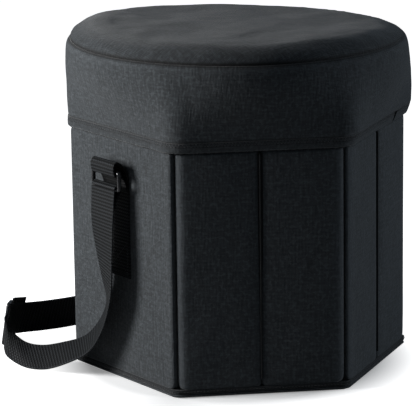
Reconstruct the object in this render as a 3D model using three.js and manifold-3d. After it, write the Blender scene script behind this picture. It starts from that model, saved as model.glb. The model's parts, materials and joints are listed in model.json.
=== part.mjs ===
// A folding cooler stool: an upholstered lid over a hexagonal insulated body whose walls fold flat,
// carried by a webbing shoulder strap. Millimetres, +Z up, front towards -Y, origin on the floor
// under the middle of the body.
import * as THREE from "three";
import { mergeVertices } from "three/addons/utils/BufferGeometryUtils.js";
import Module from "manifold-3d";

const wasm = await Module();
wasm.setup();

// Driving sizes of the body.
const bodySide = 171; // one outer edge of the hexagon, and the reach from the middle to a corner
const bodyHeight = 243.3; // floor to the zip line on top of the walls
const wallThickness = 11;
const clearance = 0.3; // air between two pieces that touch
const wallSeam = 1; // slit between the ends of two neighbouring walls

// A wall is a cloth sleeve that holds padding on the outside and a stiff board on the inside.
const coverCloth = 1.2;
const boardThickness = 3;
const wallCrown = 1.1; // how far the padding swells the middle of a wall
const cornerRound = 3.5;
const creaseRound = 3;
const insideRound = 1.5;
const leastRound = 0.3;
const zipTapeWidth = 9.5;
const zipTapeThickness = 1;

// The stiff bottom, which the walls stand on.
const bottomRimHeight = 8;
const bottomRimWidth = 2.2;
const bottomCloth = 1.5;

// The lid: a hexagonal hem that swells into a round seat.
const skirtHeight = 85.3; // lower edge of the hem to the seam round the seat
const seamInset = 3.8; // corner of the body to the seam round the seat
const crownRise = 14; // seam to the top of the seat
const shoulderRise = 3.5; // part of the rise that the rim of the crown takes
const crownOverhang = 0.8;
const lidCloth = 1.4;
const hemHeight = 10;
const hemTuck = 3.6; // how far the lower edge of the hem stands out from the walls
const hemSwell = 5.5; // the same at the widest part of the skirt's corners
const hemRollHeight = 13;
const hemThickness = 1.2;
const skirtRoll = 6; // how far the skirt bulges past the seam
const lidCornerRound = 24;
const seatBoardThickness = 8;
const lidLiningThickness = 1.2;

// The slit at the end of the hem, and the zip slider that waits behind it.
const slitPlace = 34; // middle of the front right face to the slit
const slitTopWidth = 6;
const slitBottomWidth = 3;
const slitDepth = 8; // how far the cut reaches outwards and inwards
const sliderLength = 9;
const sliderHeight = 8;
const sliderThickness = 1.6;
const sliderRound = 0.8;
const pinHeight = 5.4; // lower edge of the hem to the rivet that holds the pull
const pinRadius = 0.7;
const pinPlay = 0.3;
const pinHeadRadius = 1.6;
const pinHeadThickness = 0.6;
const pullLength = 14; // rivet to the pull's tip
const pullHeight = 4.4;
const pullThickness = 0.6;
const pullStandOff = 1.5; // wall to pull, so that it hangs clear of the wall's swell

// The cloth hinge of the lid, on the outside of the right wall.
const hingeStripHeight = 14;
const hingeStripThickness = 1.2;
const hingeStripMargin = 12;

// Webbing, its anchors and the two rectangular rings of the shoulder strap.
const webWidth = 38;
const webThickness = 1.8;
const webEdge = 0.4;
const ringStandOff = 15.4; // wall to the middle of the ring
const ringTop = 215; // height of the ring's upper bar
const ringPitch = 17; // upper bar to lower bar
const ringBar = 4.4;
const ringDepth = 4.2;
const ringSide = 3.2; // width of the ring's two upright sides
const ringSideGap = 0.8; // ring to the webbing's edge
const ringRound = 4;
const ringHoleRound = 1;
const ringEdge = 0.8;
const ringPlay = 0.8; // between a bar and the webbing round it
const anchorFoot = 107; // height of the sewn strip's lower end
const anchorBend = 200; // height where the strip leaves the wall
const anchorRise = 10; // upper bar to the top of the anchor's arch
const returnLength = 18; // lower bar to the end of the strap's turned-back end
const adjusterLength = 24;
const adjusterBar = 2.8;
const adjusterPlate = 2;
const adjusterPlay = 0.6;
const tailLift = 5;
const tailGap = 1;

// How finely the round forms are cut.
const lidSteps = 48;
const arcSteps = 4;
const crownSteps = 6;
const pinSteps = 12;
const strapSteps = 80;

const sixth = Math.PI / 3;
const apothem = bodySide * Math.cos(sixth / 2);
const cornerSlope = Math.tan(sixth / 2);
const wallBottom = bottomRimHeight + clearance;
const zipTapeBottom = bodyHeight - zipTapeThickness;
const wallTop = zipTapeBottom - clearance;
const lidBottom = bodyHeight + clearance;
const seamHeight = lidBottom + skirtHeight;
const seamRadius = bodySide - seamInset;

const finish = (name, color, roughness, metalness = 0) =>
  new THREE.MeshStandardMaterial({ name, color, roughness, metalness });
const coverFinish = finish("cover cloth", 0x2b2d31, 0.85);
const seatFinish = finish("seat cloth", 0x34363a, 0.85);
const liningFinish = finish("lining", 0xb9bdc2, 0.4);
const foamFinish = finish("foam", 0xd8d8d2, 0.95);
const boardFinish = finish("board", 0x4a4c4f, 0.7);
const webFinish = finish("webbing", 0x26272a, 0.9);
const plasticFinish = finish("moulded plastic", 0x141416, 0.35);
const zipFinish = finish("zip", 0x1b1c1e, 0.7);

const part = new THREE.Group();

function addMesh(parent, name, geometry, material) {
  const mesh = new THREE.Mesh(geometry, material);
  mesh.name = name;
  parent.add(mesh);
  return mesh;
}

// A flat outline pulled along the axis that is square to it.
function prism(points, height, holes = []) {
  const shape = new THREE.Shape(points);
  shape.holes = holes.map((hole) => new THREE.Path(hole));
  return new THREE.ExtrudeGeometry(shape, { depth: height, bevelEnabled: false });
}

// An outline drawn in a face's X and Z, pulled from its Y inwards.
const facing = new THREE.Matrix4().makeBasis(
  new THREE.Vector3(1, 0, 0),
  new THREE.Vector3(0, 0, 1),
  new THREE.Vector3(0, -1, 0),
);
// An outline drawn in a face's Y and Z, pulled along its X.
const sideways = new THREE.Matrix4().makeBasis(
  new THREE.Vector3(0, 1, 0),
  new THREE.Vector3(0, 0, 1),
  new THREE.Vector3(1, 0, 0),
);

// An outline with an arc in place of each of its corners { x, y, round }.
function roundedOutline(corners) {
  return corners.flatMap((corner, i) => {
    const here = new THREE.Vector2(corner.x, corner.y);
    const before = corners[(i + corners.length - 1) % corners.length];
    const after = corners[(i + 1) % corners.length];
    const back = new THREE.Vector2(before.x, before.y).sub(here).normalize();
    const ahead = new THREE.Vector2(after.x, after.y).sub(here).normalize();
    const half = Math.acos(back.dot(ahead)) / 2;
    const middle = back.clone().add(ahead).normalize();
    const centre = here.clone().addScaledVector(middle, corner.round / Math.sin(half));
    const start = here.clone().addScaledVector(back, corner.round / Math.tan(half)).sub(centre);
    const end = here.clone().addScaledVector(ahead, corner.round / Math.tan(half)).sub(centre);
    const turn = Math.atan2(start.cross(end), start.dot(end));
    return Array.from({ length: arcSteps + 1 }, (_, step) =>
      start.clone().rotateAround(new THREE.Vector2(), (turn * step) / arcSteps).add(centre),
    );
  });
}

const rectangle = (width, height, round) =>
  roundedOutline([
    { x: width / 2, y: -height / 2, round },
    { x: width / 2, y: height / 2, round },
    { x: -width / 2, y: height / 2, round },
    { x: -width / 2, y: -height / 2, round },
  ]);

const hexagon = (reach, round) =>
  roundedOutline(
    Array.from({ length: 6 }, (_, i) => ({
      x: (reach / Math.cos(sixth / 2)) * Math.cos((i + 0.5) * sixth),
      y: (reach / Math.cos(sixth / 2)) * Math.sin((i + 0.5) * sixth),
      round,
    })),
  );

// A band of even thickness along a line of points { x, y }.
function ribbonOutline(points, thickness, steps) {
  const line = new THREE.SplineCurve(points.map((p) => new THREE.Vector2(p.x, p.y)));
  const side = (sign) =>
    Array.from({ length: steps + 1 }, (_, i) => {
      const along = line.getTangent(i / steps);
      const across = new THREE.Vector2(-along.y, along.x).multiplyScalar((sign * thickness) / 2);
      return line.getPoint(i / steps).add(across);
    });
  return [...side(-1), ...side(1).reverse()];
}

function solid(geometry) {
  const bare = geometry.index ? geometry.toNonIndexed() : geometry.clone();
  bare.deleteAttribute("normal");
  bare.deleteAttribute("uv");
  const merged = mergeVertices(bare);
  return new wasm.Manifold(
    new wasm.Mesh({
      numProp: 3,
      vertProperties: merged.attributes.position.array,
      triVerts: new Uint32Array(merged.index.array),
    }),
  );
}

function geometryOf(manifold) {
  const mesh = manifold.getMesh();
  return new THREE.BufferGeometry()
    .setAttribute("position", new THREE.BufferAttribute(mesh.vertProperties, 3))
    .setIndex(new THREE.BufferAttribute(mesh.triVerts, 1));
}

const joined = (geometries) =>
  geometryOf(geometries.map(solid).reduce((whole, piece) => whole.add(piece)));

// Skins a stack of rings of equal count, with both ends closed, or with the last run into the first.
// Each four-cornered patch is split along its shorter diagonal.
function skin(rings, closedEnds) {
  const count = rings[0].length;
  const points = rings.flat();
  const triangles = [];
  const apart = (a, b) => points[a].distanceTo(points[b]);
  const strips = closedEnds ? rings.length - 1 : rings.length;
  for (let ring = 0; ring < strips; ring++) {
    const low = ring * count;
    const high = ((ring + 1) % rings.length) * count;
    for (let i = 0; i < count; i++) {
      const next = (i + 1) % count;
      const rising = apart(low + i, high + next) < apart(low + next, high + i);
      triangles.push(low + i, low + next, rising ? high + next : high + i);
      triangles.push(rising ? low + i : low + next, high + next, high + i);
    }
  }
  if (closedEnds) {
    const middleOf = (ring) =>
      ring.reduce((sum, p) => sum.add(p), new THREE.Vector3()).divideScalar(count);
    const first = points.length;
    const last = (rings.length - 1) * count;
    points.push(middleOf(rings[0]), middleOf(rings.at(-1)));
    for (let i = 0; i < count; i++) {
      const next = (i + 1) % count;
      triangles.push(first, next, i);
      triangles.push(first + 1, last + i, last + next);
    }
  }
  return new THREE.BufferGeometry().setFromPoints(points).setIndex(triangles);
}

// Each face of the body has its own frame: X along the face, Y outwards from the body's middle.
// The faces that fold have a crease down their middle, with an outer wall by the strap's side.
const faces = [
  { name: "right", walls: ["whole"] },
  { name: "back_right", walls: ["inner", "outer"] },
  { name: "back_left", walls: ["outer", "inner"] },
  { name: "left", walls: ["whole"] },
  { name: "front_left", walls: ["inner", "outer"] },
  { name: "front_right", walls: ["outer", "inner"] },
];
const faceGroups = {};
faces.forEach((face, i) => {
  const group = new THREE.Group();
  group.rotation.z = i * sixth - Math.PI / 2;
  part.add(group);
  faceGroups[face.name] = group;
});

// Where a wall ends at a depth below the outer face, kept back by an inset: at the crease, or on
// the slanted plane that it shares with the wall round the corner.
function wallEnd(side, atCrease, depth, inset) {
  const back = wallSeam / 2 + inset;
  if (atCrease) return -side * back;
  return side * (bodySide / 2 - depth * cornerSlope - back / Math.cos(sixth / 2));
}

// Outline of one layer of a wall between two depths, with its outer line swelled by the crown.
function wallOutline(ends, outerDepth, innerDepth, inset, crown) {
  const corner = (side, atCrease, depth, round) => ({
    x: wallEnd(side, atCrease, depth, inset),
    y: apothem - depth,
    round: Math.max(round - inset, leastRound),
  });
  const outline = roundedOutline([
    corner(1, ends.high, innerDepth, insideRound),
    corner(1, ends.high, outerDepth, ends.high ? creaseRound : cornerRound),
    corner(-1, ends.low, outerDepth, ends.low ? creaseRound : cornerRound),
    corner(-1, ends.low, innerDepth, insideRound),
  ]);
  if (crown === 0) return outline;
  const afterArc = 2 * (arcSteps + 1);
  const swell = Array.from({ length: crownSteps - 1 }, (_, i) => {
    const share = (i + 1) / crownSteps;
    const point = outline[afterArc - 1].clone().lerp(outline[afterArc], share);
    point.y += crown * 4 * share * (1 - share);
    return point;
  });
  return [...outline.slice(0, afterArc), ...swell, ...outline.slice(afterArc)];
}

function addWall(face, half) {
  const group = faceGroups[face.name];
  const folds = half !== "whole";
  const ends = { low: folds && half !== face.walls[0], high: folds && half === face.walls[0] };
  const name = folds ? `${face.name}_${half}` : face.name;
  const height = wallTop - wallBottom;
  const pocket = coverCloth + clearance;
  const boardDepth = wallThickness - pocket - boardThickness;
  const outside = wallOutline(ends, 0, wallThickness, 0, wallCrown);
  const inside = wallOutline(ends, coverCloth, wallThickness - coverCloth, coverCloth, wallCrown);
  const filling = solid(
    prism(wallOutline(ends, pocket, wallThickness - pocket, pocket, wallCrown), height),
  );
  const padding = filling.trimByPlane([0, 1, 0], apothem - boardDepth + clearance);
  const board = filling.trimByPlane([0, -1, 0], boardDepth - apothem);
  const pieces = [
    addMesh(group, `${name}_sleeve`, prism(outside, height, [inside]), coverFinish),
    addMesh(group, `${name}_padding`, geometryOf(padding), foamFinish),
    addMesh(group, `${name}_board`, geometryOf(board), boardFinish),
  ];
  for (const piece of pieces) piece.position.z = wallBottom;
  if (face.name === "right") return;
  const tape = prism(wallOutline(ends, 0, zipTapeWidth, 0, 0), zipTapeThickness);
  addMesh(group, `${name}_zip_tape`, tape, zipFinish).position.z = zipTapeBottom;
}

for (const face of faces) {
  for (const half of face.walls) addWall(face, half);
}

function addBottom() {
  const ring = (reach, height) =>
    hexagon(reach, cornerRound).map((p) => new THREE.Vector3(p.x, p.y, height));
  const tray = skin(
    [
      ring(apothem, 0),
      ring(apothem, bottomRimHeight),
      ring(apothem - bottomRimWidth, bottomRimHeight),
      ring(apothem - bottomRimWidth, bottomCloth),
    ],
    true,
  );
  addMesh(part, "bottom_cover", tray, coverFinish);
  const boardBottom = bottomCloth + clearance;
  const outline = hexagon(apothem - bottomRimWidth - clearance, cornerRound);
  const board = prism(outline, bottomRimHeight - boardBottom);
  addMesh(part, "bottom_board", board, boardFinish).position.z = boardBottom;
}
addBottom();

// Reach of a hexagon with rounded corners in one direction from its middle.
function hexagonReach(angle, reach, round) {
  const fromFlat = Math.abs(((((angle + sixth / 2) % sixth) + sixth) % sixth) - sixth / 2);
  const arcCentre = (reach - round) / Math.cos(sixth / 2);
  const arcStart = Math.atan((arcCentre * Math.sin(sixth / 2)) / reach);
  if (fromFlat <= arcStart) return reach / Math.cos(fromFlat);
  const offCorner = sixth / 2 - fromFlat;
  const across = arcCentre * Math.sin(offCorner);
  return arcCentre * Math.cos(offCorner) + Math.sqrt(round ** 2 - across ** 2);
}

// Reach of the lid's skirt at a height over the hem's lower edge: a hexagon that turns round.
function skirtReach(angle, height) {
  const roll = Math.sin((Math.min(height / hemRollHeight, 1) * Math.PI) / 2);
  const hex = hexagonReach(
    angle,
    apothem + hemTuck + (hemSwell - hemTuck) * roll,
    lidCornerRound,
  );
  const climb = THREE.MathUtils.smoothstep(height, hemHeight, skirtHeight);
  const upperHalf = Math.max(0, (2 * height) / skirtHeight - 1);
  const circle = seamRadius + skirtRoll * Math.sqrt(1 - Math.min(upperHalf, 1) ** 2);
  return hex + (circle - hex) * climb;
}

const skirtRing = (height, inset) =>
  Array.from({ length: lidSteps }, (_, i) => {
    const angle = (i / lidSteps) * 2 * Math.PI;
    const reach = skirtReach(angle, height) - inset;
    return new THREE.Vector3(
      reach * Math.cos(angle),
      reach * Math.sin(angle),
      lidBottom + height,
    );
  });

// Height of the crown over the seam at a share of its radius.
const crownHeight = (share) =>
  shoulderRise * Math.sqrt(1 - share ** 8) + (crownRise - shoulderRise) * (1 - share ** 2);

// Heights over the hem's lower edge, and shares of the crown's radius, where the lid's forms bend.
const hemHeights = [0, 0.35, 0.7, 1].map((share) => hemHeight * share);
const skirtShares = [0, 0.13, 0.28, 0.45, 0.62, 0.77, 0.88, 0.95, 1];
const skirtSpan = skirtHeight - hemHeight - 2 * clearance;
const skirtHeights = skirtShares.map((share) => hemHeight + clearance + skirtSpan * share);
const crownShares = [0, 0.3, 0.55, 0.75, 0.87, 0.94, 0.98, 1];

function skirtBand(heights, thickness) {
  const outer = heights.map((height) => skirtRing(height, 0));
  const inner = heights.map((height) => skirtRing(height, thickness)).reverse();
  return skin([...outer, ...inner], false);
}

function addLid() {
  const slit = prism(
    [
      new THREE.Vector2(-slitBottomWidth / 2, -clearance),
      new THREE.Vector2(slitBottomWidth / 2, -clearance),
      new THREE.Vector2(slitTopWidth / 2, hemHeight + clearance),
      new THREE.Vector2(-slitTopWidth / 2, hemHeight + clearance),
    ],
    2 * slitDepth,
  ).applyMatrix4(facing);
  slit.translate(-slitPlace, apothem + slitDepth, lidBottom);
  slit.applyMatrix4(faceGroups.front_right.matrixWorld);
  const hem = solid(skirtBand(hemHeights, hemThickness));
  addMesh(part, "lid_hem", geometryOf(hem.subtract(solid(slit))), coverFinish);
  addMesh(part, "lid_skirt", skirtBand(skirtHeights, lidCloth), seatFinish);

  // The crown is a thin round dome, open below.
  const crownReach = seamRadius + crownOverhang;
  const crownLine = (reach, drop) =>
    crownShares.map(
      (share) => new THREE.Vector2(share * reach, Math.max(crownHeight(share) - drop, 0)),
    );
  const underLine = crownLine(crownReach - lidCloth, lidCloth);
  const profile = [...underLine, ...crownLine(crownReach, 0).reverse()];
  const crown = new THREE.LatheGeometry(profile, lidSteps).rotateX(Math.PI / 2);
  addMesh(part, "lid_crown", crown, seatFinish).position.z = seamHeight;

  const lining = hexagon(tapeInside() - clearance, cornerRound);
  const boardBottom = lidLiningThickness + clearance;
  const underside = prism(lining, lidLiningThickness);
  addMesh(part, "lid_lining", underside, liningFinish).position.z = lidBottom;
  const seatBoard = prism(lining, seatBoardThickness);
  addMesh(part, "seat_board", seatBoard, boardFinish).position.z = lidBottom + boardBottom;
  addMesh(part, "seat_foam", foamBlock(boardBottom + seatBoardThickness + clearance), foamFinish);
  addLidTape(boardBottom + seatBoardThickness);
}

const tapeOutside = () => apothem - sliderThickness - clearance;
const tapeInside = () => tapeOutside() - zipTapeThickness;

// The foam fills the lid out to the skirt, and is domed under the crown.
function foamBlock(from) {
  const pocket = lidCloth + clearance;
  const side = [from, ...skirtHeights].map((height) => skirtRing(height, pocket));
  const dome = crownShares.slice(1, -1).reverse().map((share) =>
    skirtRing(skirtHeight, pocket).map(
      (p) =>
        new THREE.Vector3(
          p.x * share,
          p.y * share,
          seamHeight + crownHeight(share) - pocket,
        ),
    ),
  );
  return skin([...side, ...dome], true);
}

// The lid's half of the zip runs round five faces and leaves the hinged face free.
function addLidTape(height) {
  const cornerAt = (reach, i) => {
    const angle = (i + 0.5) * sixth;
    const radius = reach / Math.cos(sixth / 2);
    return new THREE.Vector2(radius * Math.cos(angle), radius * Math.sin(angle));
  };
  const line = (reach) => faces.map((_, i) => cornerAt(reach, i));
  const outline = [...line(tapeOutside()), ...line(tapeInside()).reverse()];
  addMesh(part, "lid_zip_tape", prism(outline, height), zipFinish).position.z = lidBottom;
}
part.updateMatrixWorld(true);
addLid();

// The zip slider waits behind the slit. Its pull lies along the zip behind the hem and turns down
// on a headed rivet.
function addSlider() {
  const group = faceGroups.front_right;
  const turned = (radius, i) => {
    const angle = (i / pinSteps) * 2 * Math.PI;
    return new THREE.Vector2(radius * Math.cos(angle), radius * Math.sin(angle));
  };
  const disc = (radius) => Array.from({ length: pinSteps }, (_, i) => turned(radius, i));
  const standing = (outline, thickness, out, height, holes) =>
    prism(outline, thickness, holes).applyMatrix4(facing).translate(0, out, height);
  const headBottom = pullStandOff + pullThickness + clearance;
  const blockHeight = sliderHeight / 2 + clearance;
  const block = standing(
    rectangle(sliderLength, sliderHeight, sliderRound),
    sliderThickness,
    0,
    blockHeight,
  );
  const rivet = standing(disc(pinRadius), headBottom + sliderThickness, headBottom, pinHeight);
  const headTop = headBottom + pinHeadThickness;
  const head = standing(disc(pinHeadRadius), pinHeadThickness, headTop, pinHeight);
  const slider = addMesh(group, "zip_slider", joined([block, rivet, head]), plasticFinish);
  slider.position.set(-slitPlace, apothem, lidBottom);

  const tongue = rectangle(pullLength + pullHeight / 2, pullHeight, sliderRound).map((p) =>
    p.setX(p.x + (pullLength - pullHeight / 2) / 2),
  );
  const eye = [disc(pinRadius + pinPlay)];
  const pull = standing(tongue, pullThickness, pullStandOff + pullThickness, pinHeight, eye);
  addMesh(group, "zip_pull", pull, plasticFinish).position.copy(slider.position);
}
addSlider();

function addHingeStrip() {
  const shape = rectangle(bodySide - 2 * hingeStripMargin, hingeStripHeight, leastRound);
  const strip = prism(shape, hingeStripThickness).applyMatrix4(facing);
  const out = apothem + wallCrown + clearance + hingeStripThickness;
  const mesh = addMesh(faceGroups.right, "lid_hinge_strip", strip, coverFinish);
  mesh.position.set(0, out, bodyHeight - hingeStripHeight / 2);
}
addHingeStrip();

const wrap = ringBar / 2 + ringPlay + webThickness / 2;
const lowerBar = ringTop - ringPitch;
const strapOut = apothem + ringStandOff + wrap;

// On each strap side a sewn strip arches out from the wall and holds the ring's upper bar.
// The strap's turned-back end holds the lower bar.
function addStrapSide(side) {
  const group = faceGroups[side];
  const onWall = wallCrown + clearance + webThickness / 2;
  const archPoints = [
    { x: onWall, y: anchorFoot },
    { x: onWall, y: (anchorFoot + anchorBend) / 2 },
    { x: onWall, y: anchorBend },
    { x: onWall + (ringStandOff - onWall) * 0.2, y: ringTop },
    { x: ringStandOff - wrap * 0.9, y: ringTop + anchorRise * 0.8 },
    { x: ringStandOff + wrap * 0.3, y: ringTop + anchorRise },
    { x: ringStandOff + wrap * 1.1, y: ringTop + anchorRise * 0.6 },
    { x: ringStandOff + wrap, y: ringTop },
    { x: ringStandOff + wrap * 0.7, y: ringTop - wrap * 0.71 },
    { x: ringStandOff, y: ringTop - wrap },
    { x: ringStandOff - wrap * 0.7, y: ringTop - wrap * 0.71 },
    { x: ringStandOff - wrap, y: ringTop },
  ];
  const steps = 4 * (archPoints.length - 1);
  const strip = prism(ribbonOutline(archPoints, webThickness, steps), webWidth);
  const anchor = addMesh(group, `anchor_${side}`, strip.applyMatrix4(sideways), webFinish);
  anchor.position.set(-webWidth / 2, apothem, 0);

  const holeWidth = webWidth + 2 * ringSideGap;
  const ringWidth = holeWidth + 2 * ringSide;
  const shape = new THREE.Shape(rectangle(ringWidth, ringPitch + ringBar, ringRound));
  shape.holes = [new THREE.Path(rectangle(holeWidth, ringPitch - ringBar, ringHoleRound))];
  const ring = new THREE.ExtrudeGeometry(shape, {
    depth: ringDepth - 2 * ringEdge,
    bevelThickness: ringEdge,
    bevelSize: ringEdge,
    bevelOffset: -ringEdge,
    bevelSegments: 1,
  });
  ring.translate(0, 0, ringEdge - ringDepth / 2).applyMatrix4(facing);
  const buckle = addMesh(group, `ring_${side}`, ring, plasticFinish);
  buckle.position.set(0, apothem + ringStandOff, (ringTop + lowerBar) / 2);

  const returnPoints = [
    { x: ringStandOff + wrap, y: lowerBar + 2 * clearance },
    { x: ringStandOff + wrap * 0.7, y: lowerBar + wrap * 0.71 },
    { x: ringStandOff, y: lowerBar + wrap },
    { x: ringStandOff - wrap * 0.7, y: lowerBar + wrap * 0.71 },
    { x: ringStandOff - wrap, y: lowerBar },
    { x: ringStandOff - wrap * 0.6, y: lowerBar - returnLength * 0.25 },
    { x: ringStandOff + wrap * 0.4, y: lowerBar - returnLength * 0.55 },
    { x: ringStandOff + wrap * 0.65, y: lowerBar - returnLength },
  ];
  const turned = ribbonOutline(returnPoints, webThickness, 3 * (returnPoints.length - 1));
  const end = prism(turned, webWidth).applyMatrix4(sideways);
  const mesh = addMesh(group, `strap_end_${side}`, end, webFinish);
  mesh.position.set(-webWidth / 2, apothem, 0);
}
addStrapSide("left");
addStrapSide("right");

// The strap's route, in rows of a point on its middle line and the direction from its lower edge to
// its upper edge. It leaves the left ring, lies in a loop on the floor and passes behind the body.
// Hanging rows give shares of bodySide outwards and backwards, and of the lower bar's height.
const leftShares = [
  [0, 0, 0.999, 0, 1, 0],
  [0.0141, -0.0034, 0.8255, 0.045, 0.999, 0.011],
  [0.007, -0.0057, 0.6591, 0.219, 0.975, 0.032],
  [-0.0116, 0.0011, 0.5086, 0.385, 0.92, 0.066],
  [-0.0333, 0.0339, 0.3794, 0.577, 0.811, 0.095],
  [-0.0286, 0.1074, 0.2577, 0.576, 0.808, 0.126],
  [-0.0062, 0.2119, 0.157, 0.517, 0.837, 0.178],
  [0.0462, 0.3429, 0.0974, 0.456, 0.844, 0.283],
  [0.1099, 0.4692, 0.0577, 0.389, 0.836, 0.387],
];
const rightShares = [
  [0, 0, 0.999, 0, 1, 0],
  [0.0117, 0, 0.8586, 0.02, 1, -0.08],
  [0.0117, -0.0058, 0.6818, 0.19, 0.96, -0.17],
  [0.0088, -0.0251, 0.5152, 0.39, 0.89, -0.21],
  [0.0175, -0.0398, 0.4343, 0.5, 0.83, -0.22],
  [0.038, -0.0263, 0.3434, 0.46, 0.87, -0.17],
  [0.0351, 0.0526, 0.2525, 0.4, 0.92, -0.06],
  [0.0117, 0.1637, 0.1692, 0.38, 0.92, 0.03],
  [-0.0175, 0.3392, 0.0934, 0.39, 0.91, 0.15],
];
// Lying rows give shares of bodySide in X and Y, and of the webbing's width in height.
const loopShares = [
  [-1.1401, 0.5741, 0.2866, 0.324, 0.796, 0.512],
  [-1.1766, 0.6643, 0.4481, 0.208, 0.584, 0.784],
  [-1.1915, 0.729, 0.6516, 0.115, 0.236, 0.965],
  [-1.1335, 0.8196, 0.6758, 0.147, 0.072, 0.987],
  [-1.0693, 0.9144, 0.6395, 0.13, -0.012, 0.991],
  [-1.0039, 1.0041, 0.6342, 0.105, -0.091, 0.99],
  [-0.9212, 1.0736, 0.5868, 0.131, -0.245, 0.961],
  [-0.8139, 1.1093, 0.5132, 0.106, -0.352, 0.93],
  [-0.6622, 1.0849, 0.4829, 0.036, -0.351, 0.936],
  [-0.475, 1.051, 0.4866, -0.032, -0.331, 0.943],
];
const backShares = [
  [-0.2573, 1.0526, 0.5, -0.08, -0.3, 0.95],
  [0, 1.0936, 0.5, 0, -0.3, 0.95],
  [0.2632, 1.0702, 0.5, -0.08, -0.28, 0.95],
  [0.5263, 0.9825, 0.5, -0.16, -0.24, 0.95],
  [0.7602, 0.8421, 0.5079, -0.25, -0.05, 0.96],
  [0.9181, 0.6725, 0.5079, -0.36, 0.3, 0.88],
  [0.9766, 0.5029, 0.4684, -0.42, 0.7, 0.55],
];
const hanging = (side, shares) =>
  shares.map(([out, y, z, wx, wy, wz]) => [
    side * (strapOut + out * bodySide),
    y * bodySide,
    z * lowerBar,
    -side * wx,
    wy,
    wz,
  ]);
const lying = (shares) =>
  shares.map(([x, y, z, ...width]) => [x * bodySide, y * bodySide, z * webWidth, ...width]);
const route = [
  ...hanging(-1, leftShares),
  ...lying(loopShares),
  ...lying(backShares),
  ...hanging(1, rightShares).reverse(),
];
const middleLine = new THREE.CatmullRomCurve3(
  route.map(([x, y, z]) => new THREE.Vector3(x, y, z)),
  false,
  "catmullrom",
);
const widthLine = new THREE.CatmullRomCurve3(
  route.map(([, , , x, y, z]) => new THREE.Vector3(x, y, z)),
  false,
  "catmullrom",
);

// The strap's own frame at a place on its route: along, across from edge to edge, and outwards.
function strapFrame(place) {
  const middle = middleLine.getPoint(place);
  const along = middleLine.getTangent(place);
  const across = widthLine.getPoint(place).normalize();
  return { middle, along, across, out: along.clone().cross(across).normalize() };
}

// A stretch of webbing along the route, moved by a lift across and an offset outwards.
function webbing(from, to, steps, lift, offset) {
  const halfWidth = webWidth / 2;
  const half = webThickness / 2;
  const section = [
    [halfWidth, -half + webEdge],
    [halfWidth, half - webEdge],
    [halfWidth - webEdge, half],
    [-halfWidth + webEdge, half],
    [-halfWidth, half - webEdge],
    [-halfWidth, -half + webEdge],
    [-halfWidth + webEdge, -half],
    [halfWidth - webEdge, -half],
  ];
  const rings = Array.from({ length: steps + 1 }, (_, i) => {
    const frame = strapFrame(from + ((to - from) * i) / steps);
    return section.map(([across, out]) =>
      frame.middle
        .clone()
        .addScaledVector(frame.across, across + lift)
        .addScaledVector(frame.out, out + offset),
    );
  });
  return skin(rings, true);
}

function addStrap() {
  addMesh(part, "strap", webbing(0, 1, strapSteps, 0, 0), webFinish);

  // The adjuster holds the strap flat between two end bars on one side and one bar on the other.
  const last = route.length - 1;
  const adjusterPlace = (leftShares.length + 5.1) / last;
  const frame = strapFrame(adjusterPlace);
  const box = (length, width, height, x, y, z) =>
    new THREE.BoxGeometry(length, width, height).translate(x, y, z);
  const barOut = webThickness / 2 + adjusterPlay + adjusterPlate / 2;
  const railOut = webWidth / 2 + adjusterPlay + adjusterBar / 2;
  const span = 2 * railOut + adjusterBar;
  const railDepth = 2 * barOut + adjusterPlate;
  const endBar = (adjusterLength - adjusterBar) / 2;
  const pieces = [
    box(adjusterLength, adjusterBar, railDepth, 0, railOut, 0),
    box(adjusterLength, adjusterBar, railDepth, 0, -railOut, 0),
    box(adjusterBar, span, adjusterPlate, endBar, 0, -barOut),
    box(adjusterBar, span, adjusterPlate, -endBar, 0, -barOut),
    box(adjusterBar, span, adjusterPlate, 0, 0, barOut),
  ];
  const square = frame.out.clone().cross(frame.along);
  const placed = new THREE.Matrix4().makeBasis(frame.along, square, frame.out);
  placed.setPosition(frame.middle);
  const adjuster = joined(pieces).applyMatrix4(placed);
  addMesh(part, "strap_adjuster", adjuster, plasticFinish);

  // The strap's loose end lies against the strap past the adjuster, a little higher.
  const tailFrom = (leftShares.length + 5.9) / last;
  const tailTo = (leftShares.length + 6.9) / last;
  const tail = webbing(tailFrom, tailTo, 6, tailLift, -(webThickness + tailGap));
  addMesh(part, "strap_tail", tail, webFinish);
}
addStrap();

export default part;
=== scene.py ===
# %% [markdown]
# # A folding cooler stool
#
# The real stool is a hexagonal bag of black woven polyester. Ten padded walls hang together on
# cloth hinges, so the bag folds flat, and a thick round seat closes it as a lid. A webbing strap
# hangs from two plastic rings.
#
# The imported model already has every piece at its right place, as plain solids that move on their
# joints. This script dresses it: each soft solid gets a fuller piece in its place, each hard one a
# finished material, and then come the light and the floor.

import json
import math

import bmesh
import bpy
import numpy as np
from mathutils import Matrix, Vector, noise

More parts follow.
